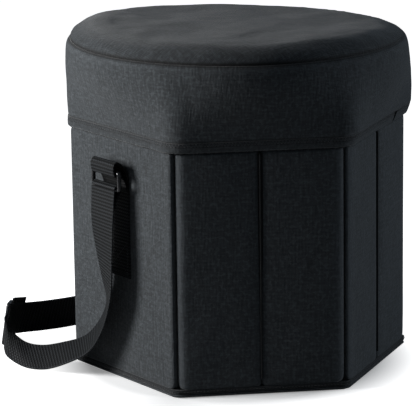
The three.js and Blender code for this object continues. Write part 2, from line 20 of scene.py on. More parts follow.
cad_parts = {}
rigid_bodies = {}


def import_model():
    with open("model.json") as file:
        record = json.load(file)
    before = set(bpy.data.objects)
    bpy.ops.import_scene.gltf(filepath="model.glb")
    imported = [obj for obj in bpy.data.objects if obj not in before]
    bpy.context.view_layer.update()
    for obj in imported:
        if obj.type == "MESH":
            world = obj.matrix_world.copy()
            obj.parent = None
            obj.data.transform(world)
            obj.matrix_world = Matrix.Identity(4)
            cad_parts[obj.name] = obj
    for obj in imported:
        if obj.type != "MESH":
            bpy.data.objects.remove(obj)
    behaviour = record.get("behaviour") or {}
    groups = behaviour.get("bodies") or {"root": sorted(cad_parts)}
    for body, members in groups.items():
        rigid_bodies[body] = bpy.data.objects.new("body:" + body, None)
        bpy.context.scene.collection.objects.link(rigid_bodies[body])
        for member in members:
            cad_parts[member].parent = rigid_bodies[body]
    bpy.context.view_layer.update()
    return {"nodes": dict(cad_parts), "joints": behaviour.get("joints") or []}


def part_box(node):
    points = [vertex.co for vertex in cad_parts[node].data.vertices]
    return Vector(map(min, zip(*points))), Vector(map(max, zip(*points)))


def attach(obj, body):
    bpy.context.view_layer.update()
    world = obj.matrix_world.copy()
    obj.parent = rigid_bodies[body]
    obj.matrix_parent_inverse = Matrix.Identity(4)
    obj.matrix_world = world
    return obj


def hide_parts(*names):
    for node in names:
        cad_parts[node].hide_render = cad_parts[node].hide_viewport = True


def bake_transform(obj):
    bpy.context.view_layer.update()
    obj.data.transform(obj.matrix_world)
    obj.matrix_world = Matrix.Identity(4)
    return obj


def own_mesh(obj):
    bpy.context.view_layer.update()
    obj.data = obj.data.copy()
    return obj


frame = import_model()
nodes = frame["nodes"]

# %% [markdown]
# ## Sizes
#
# Everything is in metres. The hexagon and its walls are needed by nearly every piece, so their
# sizes come first. They repeat the ones that the solids were made from, because a fuller piece has
# to stand where its solid stands.

# %% Name the hexagon's sizes
SIXTH = math.pi / 3
SIDE = 0.171
APOTHEM = SIDE * math.cos(SIXTH / 2)
FACES = ["right", "back_right", "back_left", "left", "front_left", "front_right"]
WALL_BOTTOM = 0.0083
WALL_TOP = 0.242
WALL_THICKNESS = 0.011
WALL_CROWN = 0.0011
WALL_SEAM = 0.001
print("across the flats:", round(2 * APOTHEM, 4), "m")

# %% [markdown]
# ## The camera
#
# The photograph was taken from some way off with a long lens, so upright lines stay nearly
# parallel. Angle, distance and lens were found by matching the corners of the hexagon. The camera
# comes first, because every other choice is judged through it.

# %% Place the camera
AZIMUTH = math.radians(-37.258)
ELEVATION = math.radians(13.827)
ROLL = math.radians(-0.798)
DISTANCE = 2.9248
AIM_ASIDE = -0.03111
AIM_HEIGHT = 0.15621
SENSOR_MM = 36
LENS_MM = 250.2
VIEW_END = 20
back = Vector(
    (
        math.sin(AZIMUTH) * math.cos(ELEVATION),
        -math.cos(AZIMUTH) * math.cos(ELEVATION),
        math.sin(ELEVATION),
    )
)
right = Vector((math.cos(AZIMUTH), math.sin(AZIMUTH), 0))
up = back.cross(right)
level_right = right * math.cos(ROLL) + up * math.sin(ROLL)
level_up = up * math.cos(ROLL) - right * math.sin(ROLL)
target = right * AIM_ASIDE + Vector((0, 0, AIM_HEIGHT))
lens = bpy.data.cameras.new("photo_camera")
lens.sensor_width = SENSOR_MM
lens.lens = LENS_MM
lens.clip_end = VIEW_END
camera = bpy.data.objects.new("photo_camera", lens)
bpy.context.scene.collection.objects.link(camera)
turn = Matrix((level_right, level_up, back)).transposed().to_4x4()
camera.matrix_world = Matrix.Translation(target + back * DISTANCE) @ turn
bpy.context.scene.camera = camera
bpy.context.scene.view_settings.view_transform = "Standard"
print("camera at", [round(x, 3) for x in camera.matrix_world.translation])

# %% [markdown]
# ## Building meshes
#
# Nearly every piece here is a bent sheet: rows of points, one above the other. Such pieces could
# be sculpted or subdivided from a cage, but then their edges would drift off the seams of the
# solids. Rows of measured points keep every edge where it belongs.
#
# `build` turns patches of rows into one closed mesh. Each point also gets a place in a flat map
# that is measured in metres, so that a weave has the same size on every piece, and a value named
# `edge`: above 0 where the cloth gets worn, and at some corners for a painted highlight; below 0
# for painted shade in folds, seams and grooves.

# %% Write the mesh builder
MERGE = 1e-6
SHORTEST = 1e-7
CLOTH_SHARP = 50
ROUND_SHARP = 60


def patch(points, flat, edge=None, closed=False, capped=False, material=0):
    """Rows of points. closed joins each row's end to its start, capped fills the end rows."""
    points = np.asarray(points, float)
    flat = np.asarray(flat, float)
    if edge is None:
        edge = np.zeros(points.shape[:2])
    return points, flat, np.asarray(edge, float), closed, capped, material


def build(name, patches, materials, sharp):
    """One mesh from patches that share their outer points. Edges past sharp degrees stay sharp."""
    mesh = bpy.data.meshes.new(name)
    bm = bmesh.new()
    flat_map = bm.loops.layers.uv.new("metres")
    wear_and_light = bm.verts.layers.float.new("edge")
    for points, flat, edge, closed, capped, material in patches:
        rows, columns = points.shape[:2]
        made = [
            [bm.verts.new(points[r, c]) for c in range(columns - 1 if closed else columns)]
            for r in range(rows)
        ]
        for r in range(rows):
            for c, vert in enumerate(made[r]):
                vert[wear_and_light] = edge[r, c]
            if closed:
                made[r].append(made[r][0])
        for r in range(rows - 1):
            for c in range(columns - 1):
                corners = ((r, c), (r, c + 1), (r + 1, c + 1), (r + 1, c))
                face = bm.faces.new([made[i][j] for i, j in corners])
                face.material_index = material
                for loop, (i, j) in zip(face.loops, corners):
                    loop[flat_map].uv = flat[i, j]
        if capped:
            for r in (0, rows - 1):
                face = bm.faces.new(made[r][:-1])
                face.material_index = material
                for loop, c in zip(face.loops, range(columns - 1)):
                    loop[flat_map].uv = flat[r, c]
    bmesh.ops.remove_doubles(bm, verts=bm.verts, dist=MERGE)
    bmesh.ops.dissolve_degenerate(bm, edges=bm.edges, dist=SHORTEST)
    bmesh.ops.recalc_face_normals(bm, faces=bm.faces)
    bm.to_mesh(mesh)
    bm.free()
    mesh.shade_smooth()
    mesh.set_sharp_from_angle(angle=math.radians(sharp))
    for material in materials:
        mesh.materials.append(material)
    piece = bpy.data.objects.new(name, mesh)
    bpy.context.scene.collection.objects.link(piece)
    return piece


def dress(piece, body, slot, *solids):
    """A piece moves with a body and stands for solids of the frame, which it hides. slot is not
    used.
    """
    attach(piece, body)
    if solids:
        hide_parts(*solids)


# %% [markdown]
# Three small tools shape the rows: a soft step from 0 to 1, a smooth curve through a few points,
# and the length along a line. A curve through its own points was chosen over a Bezier curve,
# because the solids were made along the same points.

# %% Write the line helpers
def smooth(value, start, end):
    share = np.clip((np.asarray(value, float) - start) / (end - start), 0, 1)
    return share * share * (3 - 2 * share)


def spline(points, places):
    """Points of a uniform Catmull-Rom curve at places from 0 to 1."""
    points = np.asarray(points, float)
    ends = (2 * points[:1] - points[1:2], 2 * points[-1:] - points[-2:-1])
    padded = np.vstack((ends[0], points, ends[1]))
    place = np.clip(np.asarray(places, float), 0, 1) * (len(points) - 1)
    first = np.minimum(place.astype(int), len(points) - 2)
    t = (place - first)[:, None]
    p0, p1, p2, p3 = (padded[first + i] for i in range(4))
    v0, v1 = (p2 - p0) / 2, (p3 - p1) / 2
    cubic = (2 * p1 - 2 * p2 + v0 + v1) * t**3
    square = (3 * p2 - 3 * p1 - 2 * v0 - v1) * t**2
    return cubic + square + v0 * t + p1


def lengths(points):
    """The length from a line's first point to each of its points."""
    steps = np.linalg.norm(np.diff(points, axis=0), axis=1)
    return np.concatenate(([0], np.cumsum(steps)))


print("a bent line of 3 and 4 is", lengths(np.array([(0, 0), (3, 0), (3, 4)]))[-1], "long")

# %% [markdown]
# ## Materials
#
# A woven cloth is never one flat colour. Its yarns make tiny ribs that catch the light, dye and
# dust vary softly, and edges that rub turn paler. A photograph of cloth would show that too, but it
# repeats and can't be measured. The recipes below mix a few simple patterns instead, with lengths
# in metres, so that a rib is as wide as a real one.

# %% Write the node helpers
WAVE_LENGTH = 0.31416
NOISE_LENGTH = 0.6


def node(tree, kind, settings=None, **inputs):
    """Add a node. Inputs go by name, or by number as i0, and take a value or a node's output."""
    made = tree.nodes.new(kind)
    for name, value in (settings or {}).items():
        setattr(made, name, value)
    for name, value in inputs.items():
        plug(tree, made.inputs[int(name[1:]) if name[1:].isdigit() else name], value)
    return made


def plug(tree, socket, value):
    if isinstance(value, bpy.types.NodeSocket):
        tree.links.new(value, socket)
    else:
        socket.default_value = value


def math_node(tree, operation, a, b):
    return node(tree, "ShaderNodeMath", {"operation": operation}, i0=a, i1=b).outputs[0]


def product(tree, a, b):
    return math_node(tree, "MULTIPLY", a, b)


def stripes(tree, place, direction, pitch):
    """A soft wave of 0 to 1 whose ribs are one pitch apart."""
    length = 2 * WAVE_LENGTH if direction == "DIAGONAL" else WAVE_LENGTH
    settings = {"bands_direction": direction}
    wave = node(tree, "ShaderNodeTexWave", settings, Vector=place, Scale=length / pitch)
    return wave.outputs["Fac"]


def cloud(tree, place, size, detail=3.0):
    """Soft noise whose spots are about one size across."""
    made = node(
        tree, "ShaderNodeTexNoise", Vector=place, Scale=NOISE_LENGTH / size, Detail=detail
    )
    return made.outputs["Fac"]


def stretched(tree, place, scale):
    return node(tree, "ShaderNodeMapping", Vector=place, Scale=scale).outputs[0]


def between(tree, share, low, high, start=0.0, stop=1.0):
    """A share that runs from start to stop becomes a value from low to high."""
    limits = {"From Min": start, "From Max": stop, "To Min": low, "To Max": high}
    made = node(tree, "ShaderNodeMapRange", {"clamp": True}, Value=share, **limits)
    return made.outputs["Result"]


def blend_colour(tree, share, first, second):
    made = node(tree, "ShaderNodeMix", {"data_type": "RGBA"}, i0=share, i6=first, i7=second)
    return made.outputs[2]


def raised(tree, height, distance, strength=1.0, normal=None):
    """A bump of a height map, over the bumps that are in normal already."""
    under = {} if normal is None else {"Normal": normal}
    bump = node(
        tree, "ShaderNodeBump", Height=height, Distance=distance, Strength=strength, **under
    )
    return bump.outputs["Normal"]


print("wave scale for ribs of 1.4 mm:", round(WAVE_LENGTH / 0.0014, 1))

# %% [markdown]
# Every material starts from Blender's Principled shader. A pattern reads the piece's own flat map,
# so that it bends with the cloth, or the piece's Object coordinates where there is no map.

# %% Start and finish a material
def start_material(name, mapped):
    material = bpy.data.materials.new(name)
    material.use_nodes = True
    tree = material.node_tree
    if mapped:
        place = node(tree, "ShaderNodeUVMap", {"uv_map": "metres"}).outputs["UV"]
    else:
        place = node(tree, "ShaderNodeTexCoord").outputs["Object"]
    return material, tree, place


def finish_material(material, **inputs):
    """Set the shader's sockets, by their names with _ for a space."""
    tree = material.node_tree
    shader = tree.nodes["Principled BSDF"]
    for name, value in inputs.items():
        plug(tree, shader.inputs[name.replace("_", " ")], value)
    return material


def times(colour, share):
    return tuple(c * share for c in colour[:3]) + (1,)


def wear_light_and_shade(tree):
    """How much wear and painted highlight a place has, and how much painted shade, both from the
    edge value.
    """
    edge = node(tree, "ShaderNodeAttribute", {"attribute_name": "edge"}).outputs["Fac"]
    return edge, product(tree, edge, -1.0)


def layered(tree, base, layers):
    """Lay colours over a base, each by its own share."""
    for share, colour in layers:
        base = blend_colour(tree, share, base, colour)
    return base


print("half as bright as mid grey:", times((0.5, 0.5, 0.5), 0.5))

# %% [markdown]
# ## The cover cloth
#
# The stool's cover is a plain weave of thick and thin yarns, called slubs, in a dyed blue-black.
# Two waves at right angles make the weave, two stretched clouds the slubs, and finer ones the lint
# and the rubbed edges. The ribs are raised only by bump, because they are a millimetre wide.

# %% Mix the cover cloth
YARN_STRETCH = 0.16
YARN_SPOT = 0.0013
LINT_SPOT = 0.0022
RUB_SPOT = 0.004
FOLD_SPOT = 0.03
DYE_SPOT = 0.05
YARN_BUMP = 0.00025
FOLD_BUMP = 0.0006
YARN_RELIEF = 0.8
SLUB_RANGE = (0.78, 1.22)
RUB_RANGE = (0.3, 1.0)
YARN_SHADES = (0.55, 1.4)
DYE_SHADE = 0.6
DYE_SHARE = 0.35
WEAVE_SHARE = 0.3
LINT_LEVEL = 0.57
LINT_SHARE = 0.3
CLOTH_ROUGHNESS = (0.76, 0.88)
PAINTED_SHADE_COLOUR = (0.002, 0.0022, 0.0025, 1)


def yarns_of(tree, place):
    """Single yarns, some thicker and paler than others, upright and crosswise together."""
    upright = cloud(tree, stretched(tree, place, (1, YARN_STRETCH, 1)), YARN_SPOT, 2.0)
    crosswise = cloud(tree, stretched(tree, place, (YARN_STRETCH, 1, 1)), YARN_SPOT, 2.0)
    return math_node(tree, "ADD", upright, crosswise)


def cloth(name, colour, wear_and_light, rib, mapped=True):
    """Plain weave. wear_and_light is the paler colour of rubbed yarns and of painted highlights,
    and rib the width of one rib.
    """
    material, tree, place = start_material(name, mapped)
    weave = product(tree, stripes(tree, place, "X", rib), stripes(tree, place, "Y", rib))
    slubs = between(tree, yarns_of(tree, place), 0.0, 1.0, *SLUB_RANGE)
    dye = cloud(tree, place, DYE_SPOT)
    lint = math_node(tree, "GREATER_THAN", cloud(tree, place, LINT_SPOT, 2.0), LINT_LEVEL)
    wear_and_painted_light, painted_shade = wear_light_and_shade(tree)
    wear_and_painted_light = product(tree, wear_and_painted_light, between(tree, cloud(tree, place, RUB_SPOT), *RUB_RANGE))
    layers = (
        (product(tree, dye, DYE_SHARE), times(colour, DYE_SHADE)),
        (product(tree, weave, WEAVE_SHARE), wear_and_light),
        (product(tree, lint, LINT_SHARE), wear_and_light),
        (wear_and_painted_light, wear_and_light),
        # painted shade: where the edge value is below 0, in folds, seams and grooves, the colour
        # goes near black
        (painted_shade, PAINTED_SHADE_COLOUR),
    )
    yarns = blend_colour(tree, slubs, *(times(colour, shade) for shade in YARN_SHADES))
    folds = raised(tree, cloud(tree, place, FOLD_SPOT, 4.0), FOLD_BUMP)
    slubby = raised(tree, slubs, YARN_BUMP, YARN_RELIEF, folds)
    return finish_material(
        material,
        Base_Color=layered(tree, yarns, layers),
        Roughness=between(tree, dye, *CLOTH_ROUGHNESS),
        Sheen_Weight=0.2,
        Sheen_Roughness=0.45,
        Specular_IOR_Level=0.3,
        Normal=raised(tree, weave, YARN_BUMP, YARN_RELIEF, slubby),
    )


COVER = cloth("cover_cloth", (0.025, 0.0292, 0.0325, 1), (0.082, 0.092, 0.101, 1), 0.0014)
SEAT = cloth("seat_cloth", (0.025, 0.0292, 0.0325, 1), (0.082, 0.092, 0.101, 1), 0.0014)
TRIM = cloth("trim_cloth", (0.022, 0.025, 0.028, 1), (0.065, 0.071, 0.078, 1), 0.0011)
THREAD = cloth("thread", (0.03, 0.031, 0.034, 1), (0.11, 0.115, 0.12, 1), 0.0004, mapped=False)
FOAM = cloth("foam", (0.55, 0.54, 0.5, 1), (0.7, 0.69, 0.66, 1), 0.003, mapped=False)
print("cloths:", [m.name for m in (COVER, SEAT, TRIM, THREAD, FOAM)])

# %% [markdown]
# ## The webbing
#
# Strap webbing is woven narrow and thick, with crosswise ribs broken by slanting ones. One wave
# across the band times a slanting one gives that herringbone. Its shine is low, and the colour
# between the ribs is painted nearly black, as painted shade in the grooves.

# %% Mix the webbing
WEB_RIB = 0.0034
WEB_SLANT = 0.0030
WEB_SPOT = 0.0025
WEB_DYE_SPOT = 0.02
WEB_BUMP = 0.0009
WEB_SOFT_BUMP = 0.0004
SLANT_RANGE = (0.35, 1.0)
RIB_RANGE = (0.15, 0.55)
WEB_DYE_SHARE = 0.3
WEB_SPOT_SHARE = 0.4
WEB_RUB_SHARE = 0.5
WEB_SPOT_SHADE = 0.3
RIB_GROOVE_PAINTED_SHADE = 0.05
WEB_ROUGHNESS = (0.75, 0.6)
WEB_PAINTED_SHADE_COLOUR = (0.0015, 0.0016, 0.0018, 1)


def webbing_cloth(name, colour, wear_and_light, mapped=True):
    material, tree, place = start_material(name, mapped)
    ribs = stripes(tree, place, "Y", WEB_RIB)
    slant = stripes(tree, place, "DIAGONAL", WEB_SLANT)
    woven = product(tree, ribs, between(tree, slant, *SLANT_RANGE))
    woven = between(tree, woven, 0.0, 1.0, *RIB_RANGE)
    dye = cloud(tree, place, WEB_DYE_SPOT)
    fine = cloud(tree, place, WEB_SPOT, 2.0)
    wear_and_painted_light, painted_shade = wear_light_and_shade(tree)
    layers = (
        (product(tree, dye, WEB_DYE_SHARE), colour),
        (product(tree, fine, WEB_SPOT_SHARE), times(colour, WEB_SPOT_SHADE)),
        (product(tree, wear_and_painted_light, WEB_RUB_SHARE), wear_and_light),
        # painted shade: near black where the edge value is below 0, behind the rings
        (painted_shade, WEB_PAINTED_SHADE_COLOUR),
    )
    # painted shade: between the ribs the colour falls to a twentieth, and the rib tops take the
    # paler colour
    yarns = blend_colour(tree, woven, times(colour, RIB_GROOVE_PAINTED_SHADE), wear_and_light)
    return finish_material(
        material,
        Base_Color=layered(tree, yarns, layers),
        Roughness=between(tree, woven, *WEB_ROUGHNESS),
        Specular_IOR_Level=0.2,
        Normal=raised(tree, woven, WEB_BUMP, 1.0, raised(tree, dye, WEB_SOFT_BUMP)),
    )


WEBBING = webbing_cloth("webbing", (0.0055, 0.0068, 0.0082, 1), (0.023, 0.026, 0.029, 1))
ZIP_TAPE = webbing_cloth(
    "zip_tape_cloth", (0.014, 0.015, 0.016, 1), (0.05, 0.052, 0.055, 1), mapped=False
)
print("webbings:", [m.name for m in (WEBBING, ZIP_TAPE)])

# %% [markdown]
# ## Plastic, board and lining
#
# The rings and the adjuster are moulded plastic with a fine grain and a thin shine. The boards in
# the walls are pressed fibre, so their pattern is long and faint. The lining is a wipe-clean film:
# it has some crumples, and the threads under it just show through. Each finish is one or two
# clouds, since these surfaces are smooth and mostly in the dark.

# %% Mix the hard materials
GRAIN_SPOT = 0.0012
GRAIN_BUMP = 0.00004
STREAK_SPOT = 0.012
STREAK_SHARE = 0.5
FIBRE_SPOT = 0.002
FIBRE_STRETCH = 0.12
FIBRE_BUMP = 0.0002
FIBRE_SHADE = 0.55
CRUMPLE_SPOT = 0.018
CRUMPLE_BUMP = 0.0016
CRUMPLE_SHADE = 0.82
THREAD_PITCH = 0.0016
THREAD_BUMP = 0.0001
FAINT = 0.6


def plastic(name, colour, rough, metallic=0.0):
    material, tree, place = start_material(name, False)
    grain = cloud(tree, place, GRAIN_SPOT)
    streaks = cloud(tree, place, STREAK_SPOT)
    light = tuple(min(1.0, c * 1.7 + 0.01) for c in colour[:3]) + (1,)
    return finish_material(
        material,
        Base_Color=blend_colour(tree, product(tree, streaks, STREAK_SHARE), colour, light),
        Roughness=between(tree, streaks, rough * 0.75, rough * 1.3),
        Metallic=metallic,
        Normal=raised(tree, grain, GRAIN_BUMP, FAINT),
        Coat_Weight=0.5,
        Coat_Roughness=0.12,
    )


def board(name, colour):
    material, tree, place = start_material(name, False)
    fibres = cloud(tree, stretched(tree, place, (1, 1, FIBRE_STRETCH)), FIBRE_SPOT, 5.0)
    return finish_material(
        material,
        Base_Color=blend_colour(tree, fibres, times(colour, FIBRE_SHADE), colour),
        Roughness=0.75,
        Normal=raised(tree, fibres, FIBRE_BUMP),
    )


def film(name, colour):
    material, tree, place = start_material(name, True)
    threads = [stripes(tree, place, direction, THREAD_PITCH) for direction in ("X", "Y")]
    threads = math_node(tree, "ADD", *threads)
    crumple = cloud(tree, place, CRUMPLE_SPOT, 5.0)
    crumpled = raised(tree, crumple, CRUMPLE_BUMP)
    return finish_material(
        material,
        Base_Color=blend_colour(tree, crumple, times(colour, CRUMPLE_SHADE), colour),
        Roughness=between(tree, crumple, 0.28, 0.5),
        Metallic=0.25,
        Normal=raised(tree, threads, THREAD_BUMP, FAINT, crumpled),
    )


LINING = film("lining_film", (0.22, 0.226, 0.232, 1))
PLASTIC = plastic("ring_plastic", (0.012, 0.012, 0.013, 1), 0.2)
ZIP_TEETH = plastic("zip_teeth", (0.018, 0.018, 0.02, 1), 0.35)
ENAMEL = plastic("zip_enamel", (0.016, 0.016, 0.018, 1), 0.3, metallic=0.4)
BOARD = board("board", (0.23, 0.19, 0.14, 1))
DARK_BOARD = board("dark_board", (0.022, 0.023, 0.025, 1))
print("materials:", len(bpy.data.materials))

# %% [markdown]
# ## The strap
#
# The strap leaves the left ring, turns on its way down, lies on the floor in a loop on its edge and
# runs behind the body to the right ring. A cloth simulation could let it fall, but it wouldn't come
# to lie as in the photograph. So its solid was made along a fixed route, and the fuller strap
# repeats it. Each row is a point on the middle line, and the direction from the lower edge of the
# webbing to its upper edge. The rows of the hanging ends count outwards from where the webbing
# leaves a ring.

# %% Lay out the strap's route
WEB_WIDTH = 0.038
WEB_THICKNESS = 0.0018
RING_OUT = 0.0154
RING_TOP = 0.215
RING_PITCH = 0.017
LOWER_BAR = RING_TOP - RING_PITCH
BAR_RADIUS = 0.0022
BAR_GAP = 0.0008
WRAP = BAR_RADIUS + BAR_GAP + WEB_THICKNESS / 2
STRAP_OUT = APOTHEM + RING_OUT + WRAP
NEARBY = 1e-4
left_rows = [
    (0, 0, 0.1978, 0, 1, 0),
    (0.00241, -0.00058, 0.16345, 0.045, 0.999, 0.011),
    (0.0012, -0.00097, 0.1305, 0.219, 0.975, 0.032),
    (-0.00198, 0.00019, 0.1007, 0.385, 0.92, 0.066),
    (-0.00569, 0.0058, 0.07512, 0.577, 0.811, 0.095),
    (-0.00489, 0.01837, 0.05102, 0.576, 0.808, 0.126),
    (-0.00106, 0.03623, 0.03109, 0.517, 0.837, 0.178),
    (0.0079, 0.05864, 0.01929, 0.456, 0.844, 0.283),
    (0.01879, 0.08023, 0.01142, 0.389, 0.836, 0.387),
]
right_rows = [
    (0, 0, 0.1978, 0, 1, 0),
    (0.002, 0, 0.17, 0.02, 1, -0.08),
    (0.002, -0.001, 0.135, 0.19, 0.96, -0.17),
    (0.0015, -0.0043, 0.102, 0.39, 0.89, -0.21),
    (0.003, -0.0068, 0.086, 0.5, 0.83, -0.22),
    (0.0065, -0.0045, 0.068, 0.46, 0.87, -0.17),
    (0.006, 0.009, 0.05, 0.4, 0.92, -0.06),
    (0.002, 0.028, 0.0335, 0.38, 0.92, 0.03),
    (-0.003, 0.058, 0.0185, 0.39, 0.91, 0.15),
]
loop_rows = [
    (-0.19496, 0.09817, 0.01089, 0.324, 0.796, 0.512),
    (-0.2012, 0.1136, 0.01703, 0.208, 0.584, 0.784),
    (-0.20375, 0.12466, 0.02476, 0.115, 0.236, 0.965),
    (-0.19383, 0.14015, 0.02568, 0.147, 0.072, 0.987),
    (-0.18285, 0.15636, 0.0243, 0.13, -0.012, 0.991),
    (-0.17167, 0.1717, 0.0241, 0.105, -0.091, 0.99),
    (-0.15753, 0.18359, 0.0223, 0.131, -0.245, 0.961),
    (-0.13918, 0.18969, 0.0195, 0.106, -0.352, 0.93),
    (-0.11324, 0.18552, 0.01835, 0.036, -0.351, 0.936),
    (-0.08123, 0.17972, 0.01849, -0.032, -0.331, 0.943),
]
back_rows = [
    (-0.044, 0.18, 0.019, -0.08, -0.3, 0.95),
    (0, 0.187, 0.019, 0, -0.3, 0.95),
    (0.045, 0.183, 0.019, -0.08, -0.28, 0.95),
    (0.09, 0.168, 0.019, -0.16, -0.24, 0.95),
    (0.13, 0.144, 0.0193, -0.25, -0.05, 0.96),
    (0.157, 0.115, 0.0193, -0.36, 0.3, 0.88),
    (0.167, 0.086, 0.0178, -0.42, 0.7, 0.55),
]


def hanging(side, rows):
    return [(side * (STRAP_OUT + out), y, z, -side * wx, wy, wz) for out, y, z, wx, wy, wz in rows]


route = hanging(-1, left_rows) + loop_rows + back_rows + hanging(1, right_rows)[::-1]
route = np.array(route)
SPANS = len(route) - 1


def route_frames(places):
    """The strap's middle line, and its directions along, across its width and out of its face."""
    places = np.asarray(places, float)
    middle = spline(route[:, :3], places)
    along = spline(route[:, :3], places + NEARBY) - spline(route[:, :3], places - NEARBY)
    along /= np.linalg.norm(along, axis=1)[:, None]
    across = spline(route[:, 3:], places)
    across /= np.linalg.norm(across, axis=1)[:, None]
    out = np.cross(along, across)
    return middle, along, across, out / np.linalg.norm(out, axis=1)[:, None]


print("the route has", len(route), "points")

# %% [markdown]
# Webbing is a flat band, yet not a perfectly flat one: its woven edges are rounded, and next to
# them it is a little thicker than in the middle. The cross-section below is drawn once and carried
# along any route, which a curve with a bevel object could do too, but without the width's own
# direction at every point.

# %% Weave a band along a route
ROUNDED = 0.22
THINNED = 0.86
WOVEN_EDGE = 0.47


def band_section(width, thickness, columns=14):
    across = np.cos(np.linspace(0, math.pi, columns)) * width / 2
    half = np.full(columns, thickness / 2)
    half[0] = half[-1] = thickness * ROUNDED
    half[2:-2] *= THINNED
    there = np.stack((across, half), axis=1)
    behind = np.stack((across[::-1], -half[::-1]), axis=1)
    return np.vstack((there, behind, there[:1]))


def band(name, frames, lift=0.0, offset=0.0, shade=None):
    """Webbing along frames, moved by lift along its width and by offset out of its face.

    shade is painted shade where it lies behind a ring: one value from 0 to 1 per row.
    """
    middle, along, across, out = frames
    section = band_section(WEB_WIDTH, WEB_THICKNESS)
    run = lengths(middle)
    points = (
        middle[:, None]
        + across[:, None] * (section[None, :, :1] + lift)
        + out[:, None] * (section[None, :, 1:] + offset)
    )
    around = lengths(section)
    flat = np.stack(np.broadcast_arrays(section[None, :, 0], run[:, None]), axis=2)
    edge = np.broadcast_to(np.abs(section[:, 0]) > WEB_WIDTH * WOVEN_EDGE, points.shape[:2])
    if shade is not None:
        edge = edge * 0 - shade[:, None]
    print(name, "is", round(run[-1], 3), "m long and", round(around[-1] / 2, 4), "m round one face")
    return build(name, [patch(points, flat, edge, True, True)], [WEBBING], CLOTH_SHARP)


STRAP_STEPS = 340
TAIL_START = 14.9
TAIL_END = 15.9
TAIL_STEPS = 24
TAIL_LIFT = 0.005
TAIL_BEHIND = 0.0028
strap_frames = route_frames(np.linspace(0, 1, STRAP_STEPS))
strap = band("strap_webbing", strap_frames)
tail_frames = route_frames(np.linspace(TAIL_START, TAIL_END, TAIL_STEPS) / SPANS)
tail = band("strap_loose_end", tail_frames, TAIL_LIFT, -TAIL_BEHIND)

# %% [markdown]
# The adjuster is a flat plastic frame with a bar across its middle. The strap goes over the bar and
# back, and its loose end lies behind it. It is moulded with round edges. A bevel modifier would
# round them too, but a frame's section is so simple that it is built loop by loop instead: round
# the outside from one face to the other, and back through the window.

# %% Mould the adjuster
BEVEL_STEPS = 6
CORNER_STEPS = 5
ADJUSTER_OUTER = (WEB_WIDTH + 0.0068, 0.0124, 0.003)
ADJUSTER_WINDOW = (WEB_WIDTH + 0.0012, 0.0056, 0.0012)
ADJUSTER_DEPTH = 0.0034
ADJUSTER_BEVEL = 0.0009
ADJUSTER_SHIFT = 0.0045
ADJUSTER_PLACE = 14.1


def rounded_loop(width, height, radius):
    """Points round a rectangle with round corners, anticlockwise."""
    points = []
    for corner, (sx, sy) in enumerate(((1, 1), (-1, 1), (-1, -1), (1, -1))):
        for i in range(CORNER_STEPS + 1):
            angle = (corner + i / CORNER_STEPS) * math.pi / 2
            x = sx * (width / 2 - radius) + radius * math.cos(angle)
            y = sy * (height / 2 - radius) + radius * math.sin(angle)
            points.append((x, y))
    return np.array(points + points[:1])


def moulded_frame(outer, inner, depth, bevel, place):
    """A flat frame with bevelled edges. outer and inner are a width, a height and a radius.

    place turns (x, y, depth) into a point of the scene.
    """
    angles = [math.pi * i / BEVEL_STEPS for i in range(BEVEL_STEPS + 1)]
    rings = [(bevel * (1 - math.sin(a)), depth / 2 * -math.cos(a)) for a in angles]
    outside = [(outer[0] - 2 * d, outer[1] - 2 * d, outer[2], z) for d, z in rings]
    inside = [(inner[0] + 2 * d, inner[1] + 2 * d, inner[2], z) for d, z in rings[::-1]]
    loops = []
    for width, height, radius, z in outside + inside + outside[:1]:
        loops.append([place(x, y, z) for x, y in rounded_loop(width, height, radius)])
    points = np.array(loops)
    return patch(points, np.zeros(points.shape[:2] + (2,)), None, True)


def on_strap(x, y, z, shift):
    middle, along, across, out = (v[0] for v in route_frames([ADJUSTER_PLACE / SPANS]))
    return middle + along * (y + shift) + np.cross(out, along) * x + out * z


adjuster_patches = [
    moulded_frame(
        ADJUSTER_OUTER,
        ADJUSTER_WINDOW,
        ADJUSTER_DEPTH,
        ADJUSTER_BEVEL,
        lambda x, y, z, shift=shift: on_strap(x, y, z, shift),
    )
    for shift in (-ADJUSTER_SHIFT, ADJUSTER_SHIFT)
]
adjuster = build("adjuster_frame", adjuster_patches, [PLASTIC], ROUND_SHARP)
print("adjuster faces:", len(adjuster.data.polygons))

# %% [markdown]
# A strap can't follow two rings and ten walls at once, so here its pieces simply ride with the base
# and stand for their solids.

# %% Fasten the strap
for piece, solid in ((strap, "strap"), (tail, "strap_tail"), (adjuster, "strap_adjuster")):
    dress(piece, "base", "plastic" if piece is adjuster else "webbing", solid)
    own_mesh(piece)

# %% [markdown]
# ## Six faces
#
# Each face of the hexagon has its own small frame: along the face, outwards and up. A piece is
# drawn once in that frame and turned to its face. That is safer than turning objects, because each
# piece's place has to be in its mesh.

# %% Turn points to a face
def face_axes(face):
    angle = FACES.index(face) * SIXTH - math.pi / 2
    along = np.array((math.cos(angle), math.sin(angle), 0))
    outwards = np.array((-math.sin(angle), math.cos(angle), 0))
    return along, outwards


def on_face(face, x, y, z):
    """Points of a face. y is measured outwards from the face's plane."""
    along, outwards = face_axes(face)
    x, y, z = np.broadcast_arrays(x, y, z)
    rise = np.array((0, 0, 1.0))
    return x[..., None] * along + (y[..., None] + APOTHEM) * outwards + z[..., None] * rise


print("middle of the left face:", on_face("left", 0, 0, 0).round(4))

# %% [markdown]
# ## The strap's ends
#
# A sewn strip arches out of each side wall, goes round the upper bar of a ring and comes back
# behind it. The strap goes round the lower bar and is sewn to itself. Both are the same webbing, so
# the same band follows their profiles. Behind the ring the strip is painted dark, as painted shade
# where no light reaches it.

